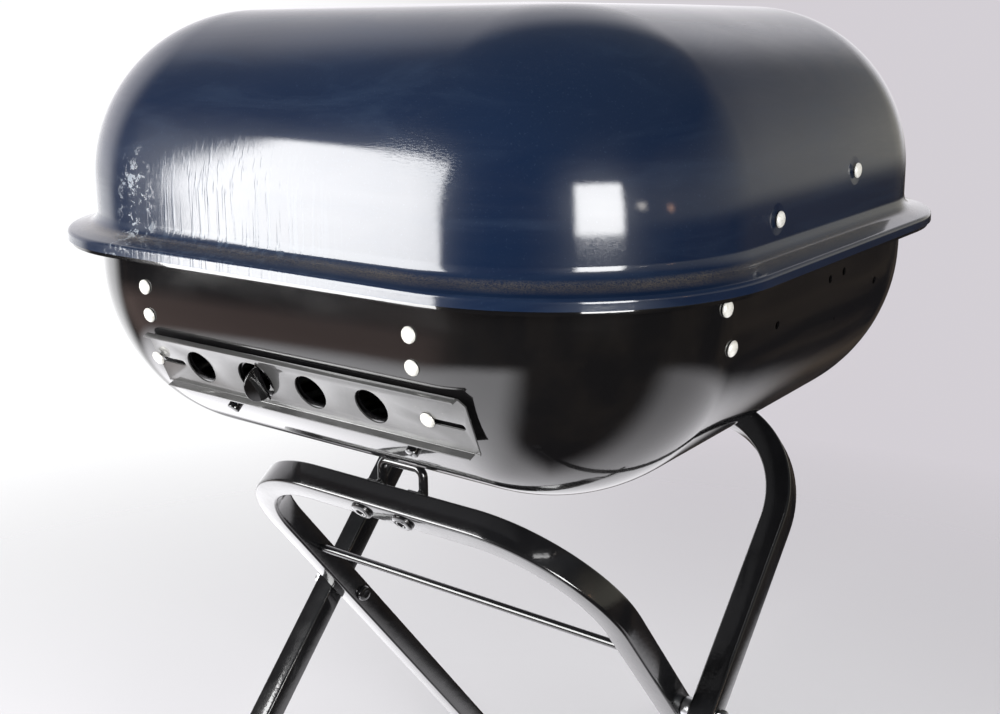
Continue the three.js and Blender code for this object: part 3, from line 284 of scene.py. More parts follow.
def hood_enamel():
    paint = Paint("navy_enamel")
    paint.set(IOR=1.5, Specular_IOR_Level=0.16, Coat_Weight=1.0, Coat_Roughness=0.012, Coat_IOR=1.5)
    wipe = paint.noise(9.0, 5.0, 0.65, paint.stretched((1.0, 1.0, 5.5), (0, 0.5, 0)), 1.2)
    haze = paint.patches(3.2, 3.0, 0.6, 0.35, 0.75)
    fleck = paint.patches(900.0, 1.0, 0.5, 0.66, 0.78)
    streaks = paint.noise(330.0, 2.0, 0.6, paint.stretched((1.0, 1.0, 0.012)))
    film_place = paint.ball(row_point(-25, -240, 14), 0.1, (1, 0.6, 1.7))
    film = paint.times(paint.steps(streaks, 0.53, 0.6), film_place)
    crust_noise = paint.steps(paint.noise(170.0, 5.0, 0.75, distort=0.6), 0.55, 0.6)
    crust_place = paint.ball(row_point(-113, -239, 17), 0.034, (1.6, 1.0, 0.75))
    crust = paint.times(crust_noise, crust_place)
    height = paint.along((0, 0, 1))
    below = paint.steps(height, row_point(0, 0, 5.5)[2], row_point(0, 0, 3)[2])
    above = paint.steps(height, row_point(0, 0, 0.4)[2], row_point(0, 0, 2)[2])
    grains = paint.patches(1300.0, 2.0, 0.6, 0.38, 0.6)
    drift = paint.patches(14.0, 3.0, 0.6, 0.3, 0.6, 0.35, 1.0)
    dust = paint.times(grains, drift, paint.times(below, above))
    paint.colour(paint.layered(
        paint.mix(haze, (0.002, 0.0075, 0.024), (0.004, 0.0125, 0.037)),
        (paint.times(paint.steps(wipe, 0.5, 0.85), 0.2), (0.03, 0.055, 0.1)),
        (paint.times(fleck, 0.08), (0.1, 0.15, 0.24)),
        (paint.times(film, 0.1), (0.16, 0.22, 0.3)),
        (paint.times(crust, 0.5), (0.4, 0.45, 0.5)),
        (paint.times(dust, 0.75), (0.12, 0.1, 0.075)),
    ))
    rough = paint.steps(wipe, 0.3, 0.85, 0.3, 0.45)
    rough = paint.math("ADD", rough, paint.times(crust, 0.35))
    paint.roughness(rough)
    scratches = paint.noise(700.0, 2.0, 0.6, paint.stretched((1.0, 1.0, 14.0), (0.2, 0.6, 0)))
    rubbed = paint.noise(260.0, 3.0, 0.65, paint.stretched((1.0, 1.0, 5.0), (0.3, 0.5, 0.2)), 0.6)
    smear_place = paint.ball(row_point(118, -228, 80), 0.075, (1.3, 1.0, 1.0))
    smear = paint.times(paint.steps(rubbed, 0.48, 0.62), smear_place)
    layers = [*enamel_ripple(paint), (scratches, 0.000006), (film, 0.00003), (crust, 0.00008)]
    dent = paint.math("ADD", *(paint.ball(hood_rivet_place(y, z), 0.009) for y, z in HOOK_RIVETS))
    paint.bumps(*layers, (dent, -0.0005), (smear, 0.00001))
    return paint.material


def bowl_enamel():
    paint = Paint("black_enamel")
    paint.set(IOR=1.5, Specular_IOR_Level=0.2, Coat_Weight=1.0, Coat_Roughness=0.01, Coat_IOR=1.52)
    cloud = paint.patches(4.0, 3.0, 0.6, 0.35, 0.8)
    dust = paint.patches(650.0, 2.0, 0.7, 0.7, 0.8)
    base = paint.mix(cloud, (0.003, 0.003, 0.0035), (0.007, 0.0065, 0.0065))
    base = paint.mix(paint.times(dust, 0.1), base, (0.2, 0.18, 0.15))
    paint.colour(base)
    wipe = paint.noise(11.0, 4.0, 0.6, paint.stretched((1.0, 1.0, 4.0), (0, 0.4, 0)), 0.8)
    paint.roughness(paint.steps(wipe, 0.3, 0.8, 0.08, 0.2))
    paint.bumps(*enamel_ripple(paint))
    return paint.material


def damper_enamel():
    """Black enamel given a grey base far lighter than the bowl's, a painted reflection of the light grey the
    plate mirrors, with real dust specks.
    """
    paint = Paint("damper_enamel")
    paint.set(Metallic=0.3, IOR=1.5, Coat_Weight=1.0, Coat_Roughness=0.04, Coat_IOR=1.5)
    cloud = paint.patches(22.0, 4.0, 0.65, 0.35, 0.75)
    specks = paint.patches(700.0, 2.0, 0.7, 0.66, 0.76)
    # Painted reflection: this grey base, with the metallic share, stands in for light the plate mirrors; the
    # specks laid over it are dust.
    base = paint.mix(cloud, (0.07, 0.07, 0.07), (0.11, 0.11, 0.108))
    paint.colour(paint.mix(paint.times(specks, 0.25), base, (0.3, 0.29, 0.26)))
    paint.roughness(paint.patches(60.0, 3.0, 0.6, 0.3, 0.8, 0.3, 0.45))
    paint.bumps(*enamel_ripple(paint))
    return paint.material


def stand_paint():
    paint = Paint("stand_powder_coat")
    paint.set(IOR=1.5, Specular_IOR_Level=0.3, Coat_Weight=1.0, Coat_Roughness=0.03, Coat_IOR=1.5)
    cloud = paint.patches(14.0, 4.0, 0.6, 0.35, 0.75)
    base = paint.mix(cloud, (0.004, 0.004, 0.0045), (0.009, 0.009, 0.01))
    chips = paint.patches(240.0, 4.0, 0.7, 0.72, 0.76)
    paint.colour(paint.mix(paint.times(chips, 0.3), base, (0.16, 0.155, 0.15)))
    paint.roughness(paint.patches(45.0, 4.0, 0.6, 0.3, 0.8, 0.14, 0.3))
    peel = paint.noise(520.0, 2.0, 0.5)
    lines = paint.noise(30.0, 3.0, 0.6)
    paint.bumps((lines, 0.0002), (peel, 0.000035))
    return paint.material


def rivet_plating():
    paint = Paint("rivet_plating")
    paint.set(Metallic=0.25, IOR=1.5)
    grime = paint.patches(420.0, 4.0, 0.7, 0.5, 0.75)
    paint.colour(paint.mix(grime, (0.83, 0.82, 0.77), (0.5, 0.48, 0.42)))
    paint.roughness(paint.patches(300.0, 3.0, 0.6, 0.3, 0.8, 0.3, 0.55))
    paint.bumps((paint.noise(900.0, 3.0, 0.6), 0.00002))
    return paint.material


def zinc_steel():
    paint = Paint("zinc_steel")
    paint.set(Metallic=1.0)
    spangle = paint.cells(160.0)
    base = paint.mix(paint.steps(spangle, 0.0, 0.6), (0.36, 0.37, 0.38), (0.56, 0.57, 0.58))
    stain = paint.patches(40.0, 4.0, 0.6, 0.5, 0.75)
    paint.colour(paint.mix(paint.times(stain, 0.35), base, (0.25, 0.23, 0.2)))
    paint.roughness(paint.patches(90.0, 4.0, 0.6, 0.3, 0.8, 0.26, 0.5))
    paint.bumps((paint.noise(500.0, 3.0, 0.6), 0.00003))
    return paint.material


def grid_chrome():
    paint = Paint("grid_chrome")
    paint.set(Metallic=1.0)
    tint = paint.patches(12.0, 3.0, 0.6, 0.4, 0.75)
    base = paint.mix(tint, (0.66, 0.66, 0.67), (0.5, 0.44, 0.36))
    paint.colour(base)
    paint.roughness(paint.patches(120.0, 4.0, 0.6, 0.3, 0.8, 0.12, 0.34))
    paint.bumps((paint.noise(260.0, 3.0, 0.6), 0.00003))
    return paint.material


def black_plastic():
    paint = Paint("black_plastic")
    paint.set(IOR=1.5)
    mottle = paint.patches(30.0, 3.0, 0.6, 0.35, 0.75)
    paint.colour(paint.mix(mottle, (0.013, 0.013, 0.014), (0.028, 0.028, 0.029)))
    paint.roughness(paint.patches(70.0, 3.0, 0.6, 0.3, 0.8, 0.42, 0.62))
    paint.bumps((paint.cells(1400.0), 0.00006))
    return paint.material


MATERIALS = {
    "hood_enamel": hood_enamel(),
    "bowl_enamel": bowl_enamel(),
    "damper_enamel": damper_enamel(),
    "stand_paint": stand_paint(),
    "rivet_enamel": rivet_plating(),
    "zinc_steel": zinc_steel(),
    "grid_chrome": grid_chrome(),
    "black_plastic": black_plastic(),
}


# ---- Meshes ----


def row_mesh(name, points, faces):
    """A mesh in the row frame from points in millimetres, its faces turned outwards."""
    mesh = bpy.data.meshes.new(name)
    mesh.from_pydata([tuple(TO_ROW @ Vector(point)) for point in points], [], faces)
    mesh.validate()
    shape = bmesh.new()
    shape.from_mesh(mesh)
    bmesh.ops.recalc_face_normals(shape, faces=shape.faces)
    shape.to_mesh(mesh)
    shape.free()
    return mesh


def shade(mesh, crease=CREASE):
    mesh.shade_smooth()
    mesh.set_sharp_from_angle(angle=crease)


def add_object(name, data):
    thing = bpy.data.objects.new(name, data)
    bpy.context.scene.collection.objects.link(thing)
    return thing


def piece(name, points, faces, body, slot, nodes, crease=CREASE):
    """A smooth-shaded piece that rides on a body in place of CAD nodes."""
    mesh = row_mesh(name, points, faces)
    shade(mesh, crease)
    mesh.materials.append(MATERIALS[slot])
    thing = add_object(name, mesh)
    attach(thing, body)
    if nodes:
        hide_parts(*nodes)
    return thing


def loft(rings, closed=False):
    """Points and faces of a skin through rings of equal length, capped at both ends or closed."""
    count = len(rings[0])
    points = [point for ring in rings for point in ring]
    faces = []
    for band in range(len(rings) if closed else len(rings) - 1):
        here, there = band * count, (band + 1) % len(rings) * count
        for i in range(count):
            j = (i + 1) % count
            faces.append((here + i, here + j, there + j, there + i))
    if not closed:
        faces.append(tuple(reversed(range(count))))
        faces.append(tuple(range((len(rings) - 1) * count, len(rings) * count)))
    return points, faces


def joined(*shells):
    """Several (points, faces) shells as one."""
    points, faces = [], []
    for more_points, more_faces in shells:
        start = len(points)
        points.extend(more_points)
        faces.extend(tuple(start + index for index in face) for face in more_faces)
    return points, faces


def moved(matrix, shell):
    points, faces = shell
    return [matrix @ Vector(point) for point in points], faces


def basis(place, x, y, z):
    matrix = Matrix((x, y, z)).transposed().to_4x4()
    matrix.translation = place
    return matrix


def stand_along(place, direction):
    """A matrix that stands a shape's own +Z along a direction."""
    direction = Vector(direction).normalized()
    side = (X if abs(direction.dot(X)) < 0.9 else Y).cross(direction).normalized()
    return basis(place, side, direction.cross(side), direction)


def compass(sides):
    """(cosine, sine) of equal turns round a circle."""
    turns = [2 * math.pi * k / sides for k in range(sides)]
    return [(math.cos(turn), math.sin(turn)) for turn in turns]


def level_circle(radius, height, sides):
    return [Vector((radius * cos, radius * sin, height)) for cos, sin in compass(sides)]


def lathe(profile, sides=32):
    """A turned shell on +Z from (radius, height) points; radius 0 ends are closed to a point."""
    points, faces, rows = [], [], []
    for radius, height in profile:
        if radius < 1e-6:
            rows.append([len(points)] * sides)
            points.append(Vector((0, 0, height)))
            continue
        rows.append(list(range(len(points), len(points) + sides)))
        points.extend(level_circle(radius, height, sides))
    for low, high in zip(rows, rows[1:]):
        for k in range(sides):
            j = (k + 1) % sides
            corners = dict.fromkeys((low[k], low[j], high[j], high[k]))
            if len(corners) > 2:
                faces.append(tuple(corners))
    return points, faces


def tube_lathe(profile, sides=36):
    """A turned ring from a closed (radius, height) outline."""
    return loft([level_circle(radius, height, sides) for radius, height in profile], closed=True)


def arc(centre, radius, start, end, steps):
    """Points of a circle in a plane, both ends included, angles in degrees."""
    turns = [math.radians(start + (end - start) * i / steps) for i in range(steps + 1)]
    return [(centre[0] + radius * math.cos(t), centre[1] + radius * math.sin(t)) for t in turns]


def curve3(a, control, b, steps):
    """A quadratic curve between two points of a plane."""
    out = []
    for i in range(steps + 1):
        t = i / steps
        shares = (1 - t) ** 2, 2 * t * (1 - t), t * t
        out.append(tuple(shares[0] * p + shares[1] * c + shares[2] * q for p, c, q in zip(a, control, b)))
    return out


def rounded_rectangle(width, height, radius, steps=6):
    """A closed outline around the middle, with round corners."""
    outline = []
    for quarter in range(4):
        sign_a = 1 if quarter in (0, 3) else -1
        sign_b = 1 if quarter < 2 else -1
        centre = (sign_a * (width / 2 - radius), sign_b * (height / 2 - radius))
        outline += arc(centre, radius, quarter * 90, quarter * 90 + 90, steps)
    return outline


# ---- Hood and bowl ----


def level_ring(half, corner, z):
    """A level ring with rounded corners, its straight sides divided too."""
    corner = max(corner, 0.2)
    ring = []
    for side in range(4):
        sign_x = 1 if side in (0, 3) else -1
        sign_y = 1 if side < 2 else -1
        arc_points = []
        for i in range(CORNER_STEPS + 1):
            turn = (side + i / CORNER_STEPS) * math.pi / 2
            x = sign_x * (half - corner) + corner * math.cos(turn)
            y = sign_y * (half - DEPTH_TRIM - corner) + corner * math.sin(turn)
            arc_points.append(Vector((x, y, z)))
        if ring:
            last = ring[-1].copy()
            ring.extend(last.lerp(arc_points[0], k / SIDE_STEPS) for k in range(1, SIDE_STEPS))
        ring.extend(arc_points)
    last, first = ring[-1].copy(), ring[0]
    ring.extend(last.lerp(first, k / SIDE_STEPS) for k in range(1, SIDE_STEPS))
    return ring


def offset_profile(profile, distance):
    """A profile moved inwards, square to itself."""
    moved_in = []
    for i, (half, z, corner) in enumerate(profile):
        half_a, z_a, _ = profile[max(i - 1, 0)]
        half_b, z_b, _ = profile[min(i + 1, len(profile) - 1)]
        length = math.hypot(half_b - half_a, z_b - z_a)
        out_x, out_z = (z_b - z_a) / length, -(half_b - half_a) / length
        moved_in.append((half - distance * out_x, z - distance * out_z, corner - distance * out_x))
    return moved_in


def rings_of(profile):
    return [level_ring(half, corner, z) for half, z, corner in profile]


def hood_profile():
    """[half width, height, corner radius] from the skirt's bottom edge to the middle of the top."""

    def ledge_corner(half):
        return HOOD_CORNER + (half - HOOD_HALF) * (RIM_CORNER - HOOD_CORNER) / (RIM_HALF - HOOD_HALF)

    edge = [(RIM_HALF - SKIRT_FLARE * (z + SKIRT_DROP), z) for z in (-SKIRT_DROP, -6.2, -4.4, -2.9)]
    edge += arc((RIM_HALF - 2.6 - SKIRT_FLARE * 4, -2.6), 2.6, 2, 82, 6)
    edge += curve3((HOOD_HALF + 6.4, 2.2), (HOOD_HALF + 1.0, 3.6), (HOOD_HALF + 0.1, 10.0), 7)
    profile = [(half, z, ledge_corner(half)) for half, z in edge]
    shoulder_z = HOOD_HEIGHT - HOOD_SHOULDER
    for z in (10.6, 11.6, 13.5, 17.0, 21.0, 24.5):
        inset = HOOD_DRAFT * (z - 10) / (shoulder_z - 10)
        profile.append((HOOD_HALF - inset, z, HOOD_CORNER - inset))
    steps = 30
    for i in range(steps + 1):
        turn = i / steps * math.pi / 2
        inset = HOOD_DRAFT + HOOD_SHOULDER * (1 - math.cos(turn))
        profile.append((HOOD_HALF - inset, shoulder_z + HOOD_SHOULDER * math.sin(turn), HOOD_CORNER - inset))
    edge_half, _, edge_corner = profile[-1]
    for share in (0.94, 0.85, 0.7, 0.5, 0.3, 0.12, 0.03):
        rise = HOOD_CROWN * (1 - share * share)
        profile.append((edge_half * share, HOOD_HEIGHT + rise, edge_corner * share))
    return profile


def bowl_inset(z):
    down = max(BOWL_STRAIGHT - z, 0) / BOWL_DOWN
    return BOWL_OUT * (1 - math.sqrt(max(1 - down * down, 0)))


def bowl_slope(z):
    """Angle that the wall's outward normal points below level."""
    return math.atan2(bowl_inset(z - 0.5) - bowl_inset(z + 0.5), 1.0)


def on_bowl(side, along, z):
    """Place on the bowl's outside and the outward normal; side 0 is the front, 1 the right."""
    half = BOWL_HALF - bowl_inset(z) - (DEPTH_TRIM if side % 2 == 0 else 0)
    corner = BOWL_CORNER - bowl_inset(z)
    past = max(abs(along) - (BOWL_HALF - BOWL_CORNER), 0)
    back = corner - math.sqrt(corner * corner - past * past)
    turn = math.copysign(math.asin(past / corner), along)
    slope = bowl_slope(z)
    place = Vector((along, -(half - back), z))
    normal = Vector((math.sin(turn) * math.cos(slope), -math.cos(turn) * math.cos(slope), -math.sin(slope)))
    quarter = Matrix.Rotation(side * math.pi / 2, 3, "Z")
    return quarter @ place, quarter @ normal


def damper_frame(side):
    """Plate frame: u to the right, v up the slope, out away from the bowl."""
    slope = bowl_slope(DAMPER_Z)
    quarter = Matrix.Rotation(side * math.pi / 2, 3, "Z")
    u = quarter @ X
    v = quarter @ Vector((0, -math.sin(slope), math.cos(slope)))
    out = quarter @ Vector((0, -math.cos(slope), -math.sin(slope)))
    return basis(on_bowl(side, 0, DAMPER_Z)[0], u, v, out)


def damper_shift(side):
    return FRONT_SHIFT if side == 0 else 0.0


def cylinder(place, direction, start, end, radius, sides=32):
    profile = [(0, start), (radius, start), (radius, end), (0, end)]
    return moved(stand_along(place, direction), lathe(profile, sides))


def cut(thing, *cutters):
    """Takes cutter shells, in millimetres, out of a finished piece."""
    mesh = row_mesh("cutter", *joined(*cutters))
    tool = add_object("cutter", mesh)
    modifier = thing.modifiers.new("cut", "BOOLEAN")
    modifier.operation = "DIFFERENCE"
    modifier.solver = "EXACT"
    modifier.object = tool
    bake_modifiers(thing)
    bpy.data.objects.remove(tool)
    bpy.data.meshes.remove(mesh)


def bake_modifiers(thing):
    depsgraph = bpy.context.evaluated_depsgraph_get()
    result = bpy.data.meshes.new_from_object(thing.evaluated_get(depsgraph))
    old = thing.data
    thing.modifiers.clear()
    thing.data = result
    bpy.data.meshes.remove(old)
    shade(result)


def rounded(thing, width, segments=2, angle=40):
    """Rounds a piece's sharp edges; width in millimetres."""
    modifier = thing.modifiers.new("round", "BEVEL")
    modifier.width = width * MM
    modifier.segments = segments
    modifier.limit_method = "ANGLE"
    modifier.angle_limit = math.radians(angle)
    bake_modifiers(thing)


def make_hood():
    outer = hood_profile()
    inner = offset_profile(outer, SHEET)
    inner[0] = (inner[0][0], -SKIRT_DROP, inner[0][2])
    rings = rings_of(list(reversed(inner)) + outer)
    piece("hood", *loft(rings), "hood", "hood_enamel", ["hood_shell"])


def make_bowl():
    floor_half, floor_corner = BOWL_HALF - BOWL_OUT, BOWL_CORNER - BOWL_OUT
    outer = [(floor_half * s, BOWL_FLOOR, floor_corner * s) for s in (0.04, 0.35, 0.7, 0.92)]
    steps = 32
    for i in range(steps + 1):
        turn = i / steps * math.pi / 2
        inset = BOWL_OUT * (1 - math.sin(turn))
        z = BOWL_STRAIGHT - BOWL_DOWN * math.cos(turn)
        outer.append((BOWL_HALF - inset, z, BOWL_CORNER - inset))
    outer += [(BOWL_HALF, z, BOWL_CORNER) for z in (-24.0, -18.0, -12.5, -10.2, -9.2)]
    inner = offset_profile(outer, SHEET)
    inner[:4] = [(half, BOWL_FLOOR + SHEET, corner) for half, _, corner in outer[:4]]
    lip_inside = LIP_HALF - SHEET
    flange = [(BOWL_HALF + 0.3, -7.4), (BOWL_HALF + 1.4, -6.1), (lip_inside - 1.2, -4.7)]
    flange += [(lip_inside - 0.2, -5.4), (lip_inside, -6.2), (lip_inside, LIP_BOTTOM)]
    flange += [(LIP_HALF, LIP_BOTTOM), (LIP_HALF, -5.0), (LIP_HALF - 0.5, -3.7), (LIP_HALF - 1.8, -3.1)]
    flange += [(BOWL_HALF + 1.6, -4.4), (BOWL_HALF - 0.2, -5.2)]

    def flange_corner(half):
        return BOWL_CORNER + (half - BOWL_HALF) * (RIM_CORNER - 2 - BOWL_CORNER) / (LIP_HALF - BOWL_HALF)

    rim = [(half, z, flange_corner(half)) for half, z in flange]
    rings = rings_of(outer + rim + list(reversed(inner)))
    bowl = piece("bowl", *loft(rings), "bowl", "bowl_enamel", ["bowl_shell"])
    cut(bowl, *bowl_holes())


def bowl_holes():
    holes = []
    for side in (0, 2):
        matrix = damper_frame(side)
        out = matrix.to_3x3() @ Z
        for u in VENTS_U:
            place = matrix @ Vector((u + damper_shift(side), VENT_V, 0))
            holes.append(cylinder(place, out, -14, 14, VENT_RADIUS - 0.8, 40))
    for along, z, radius in SPARE_HOLES:
        holes.append(cylinder(*on_bowl(1, along, z), -9, 9, radius, 24))
    return holes


def make_studs():
    profile = [(0, -0.9), (STUD_RADIUS, -0.9), (STUD_RADIUS, STUD_REACH - 1.0)]
    profile += [(STUD_RADIUS * 0.93, STUD_REACH - 0.4), (STUD_RADIUS * 0.7, STUD_REACH), (0, STUD_REACH)]
    for side, end in SIDE_ENDS:
        for (along, z), hand in zip(STUDS, ("left", "right")):
            shell = moved(stand_along(*on_bowl(side, along, z)), lathe(profile, 28))
            piece(f"{end}_stud_{hand}", *shell, "bowl", "bowl_enamel", [])


# ---- Damper ----


def channel_section():
    """Closed (v, out) outline of the plate with both flanges turned outwards on rounded bends."""
    low, high = DAMPER_V
    back, front = DAMPER_BACK, DAMPER_BACK + DAMPER_SHEET
    low_lip, high_lip = (front + reach for reach in DAMPER_FLANGES)
    outer_bend, inner_bend = 1.5, 0.6
    inner_high, inner_low = high - DAMPER_SHEET, low + DAMPER_SHEET
    outline = [(low, low_lip), *arc((low + outer_bend, back + outer_bend), outer_bend, 180, 270, 6)]
    outline += arc((high - outer_bend, back + outer_bend), outer_bend, 270, 360, 6)
    outline += [(high, high_lip), (inner_high, high_lip)]
    outline += arc((inner_high - inner_bend, front + inner_bend), inner_bend, 0, -90, 5)
    outline += arc((inner_low + inner_bend, front + inner_bend), inner_bend, 270, 180, 5)
    return outline + [(inner_low, low_lip)]


def box_shell(low, high):
    sides = zip(low, high)
    points = [Vector(corner) for corner in itertools.product(*sides)]
    faces = [(0, 1, 3, 2), (4, 6, 7, 5), (0, 4, 5, 1), (2, 3, 7, 6), (0, 2, 6, 4), (1, 5, 7, 3)]
    return points, faces


def slab(outline, low, high):
    """A flat outline given thickness along z."""
    return loft([[Vector((x, y, z)) for x, y in outline] for z in (low, high)])


def slot_shell(start, end, v, half, steps=10):
    """A straight slot with round ends, as a cutter through the plate."""
    outline = arc((end, v), half, -90, 90, steps) + arc((start, v), half, 90, 270, steps)
    return slab(outline, *CUT_THROUGH)


def corner_cutter(right, high):
    """Takes the chamfer off the plate's upper right corner and the flange's end above it."""
    slant = [(right - DAMPER_CHAMFER, high + 1), (right + 1, high - DAMPER_CHAMFER)]
    return slab([*slant, (right + 30, high + 30)], *CUT_THROUGH)


def make_damper(side, end):
    """The sliding plate with its vents and slots, its finger tab and the two rivets it slides on."""
    left, right = DAMPER_U
    low, high = DAMPER_V
    rings = [[Vector((u, v, out)) for v, out in channel_section()] for u in (left, right)]
    matrix = damper_frame(side)
    shift = damper_shift(side)
    body, node = f"{end}_damper", f"{end}_damper_plate"
    plate = piece(f"{end}_damper", *moved(matrix, loft(rings)), body, "damper_enamel", [node])
    cutters = [corner_cutter(right, high)]
    lip = DAMPER_BACK + DAMPER_SHEET + 0.2
    for start, stop in ((left - 9, left + 4), (right - 4, right + 9)):
        cutters.append(box_shell((start, low - 2, lip), (stop, low + 2, 12)))
    for i, u in enumerate(VENTS_U):
        if i == TAB_VENT:
            long_way = (u + shift, u + shift + 2 * TAB_VENT_SHIFT)
            cutters.append(slot_shell(*long_way, VENT_V, VENT_RADIUS + TAB_VENT_GROWN, 24))
        else:
            cutters.append(cylinder(Vector((u + shift, VENT_V, 0)), Z, -5, 6, VENT_RADIUS, 48))
    for u in (-DAMPER_RIVET_X, DAMPER_RIVET_X):
        cutters.append(slot_shell(u + shift, u + shift + DAMPER_TRAVEL, VENT_V, SLOT_HALF))
    cut(plate, *[moved(matrix, shell) for shell in cutters])
    rounded(plate, 0.22, 2, 50)
    tab = moved(matrix @ tab_frame(VENTS_U[TAB_VENT] + shift + TAB_OFFSET), tab_shell())
    leaf = piece(f"{end}_damper_tab", *tab, body, "bowl_enamel", [])
    rounded(leaf, 0.35, 3, 50)
    lift = DAMPER_BACK + DAMPER_SHEET + GAP
    for hand, name in HANDS:
        place = matrix @ Vector((hand * DAMPER_RIVET_X + shift, VENT_V, 0))
        rivet = f"{end}_damper_rivet_{name}"
        make_rivet(rivet, place, matrix.to_3x3() @ Z, lift, lift + SHEET + 1.2, "bowl")


def tab_frame(u):
    """The finger tab's frame: x away from the plate, leaning to the left, y up, z across its sheet."""
    lean = math.radians(TAB_LEAN)
    away = Vector((-math.sin(lean), 0, math.cos(lean)))
    return basis(Vector((u, VENT_V, DAMPER_BACK + 0.5)), away, Y, away.cross(Y))


def tab_shell():
    """The vent's slug turned out on two short necks."""
    half_sheet = 0.55
    neck = TAB_RADIUS + 2.4
    straight = TAB_REACH - TAB_RADIUS
    outline = [(0, -neck), (DAMPER_SHEET, -neck), (DAMPER_SHEET + 0.5, -TAB_RADIUS)]
    outline += arc((straight, 0), TAB_RADIUS, -90, 90, 30)
    outline += [(DAMPER_SHEET + 0.5, TAB_RADIUS), (DAMPER_SHEET, neck), (0, neck)]
    return slab(outline, -half_sheet, half_sheet)


# ---- Fasteners ----


def rivet_shell(grip):
    """A domed head on a short collar of enamel, a shank and an upset tail."""
    dome = ((0.97, 0.75), (0.86, 1.25), (0.68, 1.72), (0.45, 2.06), (0.2, 2.26))
    head = [(RIVET_HEAD, 0.0), (RIVET_HEAD + 0.02, 0.35)]
    head += [(RIVET_HEAD * share, height) for share, height in dome]
    tail = [(0, -grip - 1.6), (2.6, -grip - 1.5), (3.4, -grip - 0.9), (3.4, -grip)]
    return lathe([*tail, (RIVET_SHANK, -grip), (RIVET_SHANK, 0), *head, (0, 2.3)], 36)


def make_rivet(node, place, normal, lift, grip, body):
    """A rivet whose head stands on the wall's normal, lifted off a place by the sheets it holds."""
    normal = Vector(normal).normalized()
    matrix = stand_along(Vector(place) + normal * lift, normal)
    name = node.replace("rivet", "rivet_head")
    piece(name, *moved(matrix, rivet_shell(grip)), body, "rivet_enamel", [node])


def wall_rivets():
    for side, end in SIDE_ENDS:
        for hand, letters in ((-1, "ab"), (1, "cd")):
            for z, letter in zip(BRACKET_RIVETS_Z, letters):
                place, normal = on_bowl(side, hand * BRACKET_X + damper_shift(side), z)
                make_rivet(f"{end}_grid_rivet_{letter}", place, normal, GAP, GAP + 4.8, "bowl")
    for side, end, sign in ((1, "right", 1), (3, "left", -1)):
        for (y, z), letter in zip(SIDE_RIVETS, "ab"):
            place, normal = on_bowl(side, sign * y, z)
            make_rivet(f"{end}_side_rivet_{letter}", place, normal, GAP, GAP + 8.8, "bowl")
    for (y, z), end in zip(HOOK_RIVETS, ("front", "rear")):
        place = Vector((hood_rivet_x(z), y, z))
        make_rivet(f"hood_rivet_{end}", place, X, GAP + 1.2, GAP + 6.4, "hood")
    for hand, name in HANDS:
        for y, letter in zip(CLAMP_RIVETS_Y, "ab"):
            lift = GAP + CLAMP_SHEET + GAP
            place = Vector((hand * CLAMP_X, y, BOWL_FLOOR))
            make_rivet(f"clamp_rivet_{name}_{letter}", place, -Z, lift, lift + SHEET + GAP, "bowl")


# ---- Stand ----


def loop_matrix(loop):
    """A loop's own frame: x to the right, y up its legs from the pivot, z square to its plane."""
    tilt = math.radians(loop["tilt"])
    along = Vector((0, loop["side"] * math.cos(tilt), math.sin(tilt)))
    return basis(Vector((0, PIVOT_Y, PIVOT_Z)), X, along, X.cross(along))


def square_section(width, radius):
    """Closed (across, out) outline of a square tube with rounded edges."""
    return rounded_rectangle(width, width, radius, 4)


def loop_stations(loop):
    """(x, along, turn) from the left foot over the top bar to the right foot."""
    half, to_bar, bend, to_end = (loop[key] for key in ("half", "to_bar", "bend", "to_end"))
    leg = to_bar - bend + to_end
    stations = [(-half, -to_end + leg * k / 8, math.pi) for k in range(8)]
    steps = 24
    for middle, start in ((-half + bend, math.pi), (half - bend, math.pi / 2)):
        for i in range(steps + 1):
            turn = start - i / steps * math.pi / 2
            x = middle + bend * math.cos(turn)
            stations.append((x, to_bar - bend + bend * math.sin(turn), turn))
    return stations + [(half, to_bar - bend - leg * k / 8, 0.0) for k in range(1, 9)]


def tube_rings(loop, section):
    return [
        [Vector((x + a * math.cos(turn), along + a * math.sin(turn), out)) for a, out in section]
        for x, along, turn in loop_stations(loop)
    ]


def make_loop(name, loop, body, node):
    outer = tube_rings(loop, square_section(TUBE, TUBE_ROUND))
    inner = tube_rings(loop, square_section(TUBE - 2 * TUBE_SHEET, TUBE_ROUND - TUBE_SHEET))
    shell = moved(loop_matrix(loop), loft(outer + list(reversed(inner)), closed=True))
    piece(name, *shell, body, "stand_paint", [node], math.radians(50))


def make_foot(name, loop, hand, body, node):
    """A ribbed boot over the end of a leg, its sole level with the floor."""
    middle, end = hand * loop["half"], -loop["to_end"]
    matrix = loop_matrix(loop)
    groove_half, socket_half = BOOT_HALF - BOOT_GROOVE, TUBE / 2 + GAP
    profile = [(socket_half, -GAP, TUBE_ROUND), (socket_half, BOOT_TALL, TUBE_ROUND)]
    profile += [(BOOT_HALF - 0.4, BOOT_TALL, BOOT_ROUND)]
    profile += [(BOOT_HALF, along, BOOT_ROUND) for along in (27.4, 22.3)]
    for top in (21.6, 16.8, 12.0, 7.2):
        profile += [(groove_half, top - drop, BOOT_ROUND) for drop in (0, 1.4)]
        profile += [(BOOT_HALF, top - drop, BOOT_ROUND) for drop in (2.1, 4.1)]
    rings = []
    for half, along, corner in [*profile, (BOOT_HALF, 1.0, BOOT_ROUND)]:
        section = square_section(2 * half, corner)
        rings.append([matrix @ Vector((middle + a, end + along, b)) for a, b in section])
    down = matrix.to_3x3() @ -Y
    rings.append([point + down * ((FLOOR_Z - point.z) / down.z) for point in rings[-1]])
    piece(name, *loft(rings), body, "black_plastic", [node], math.radians(28))


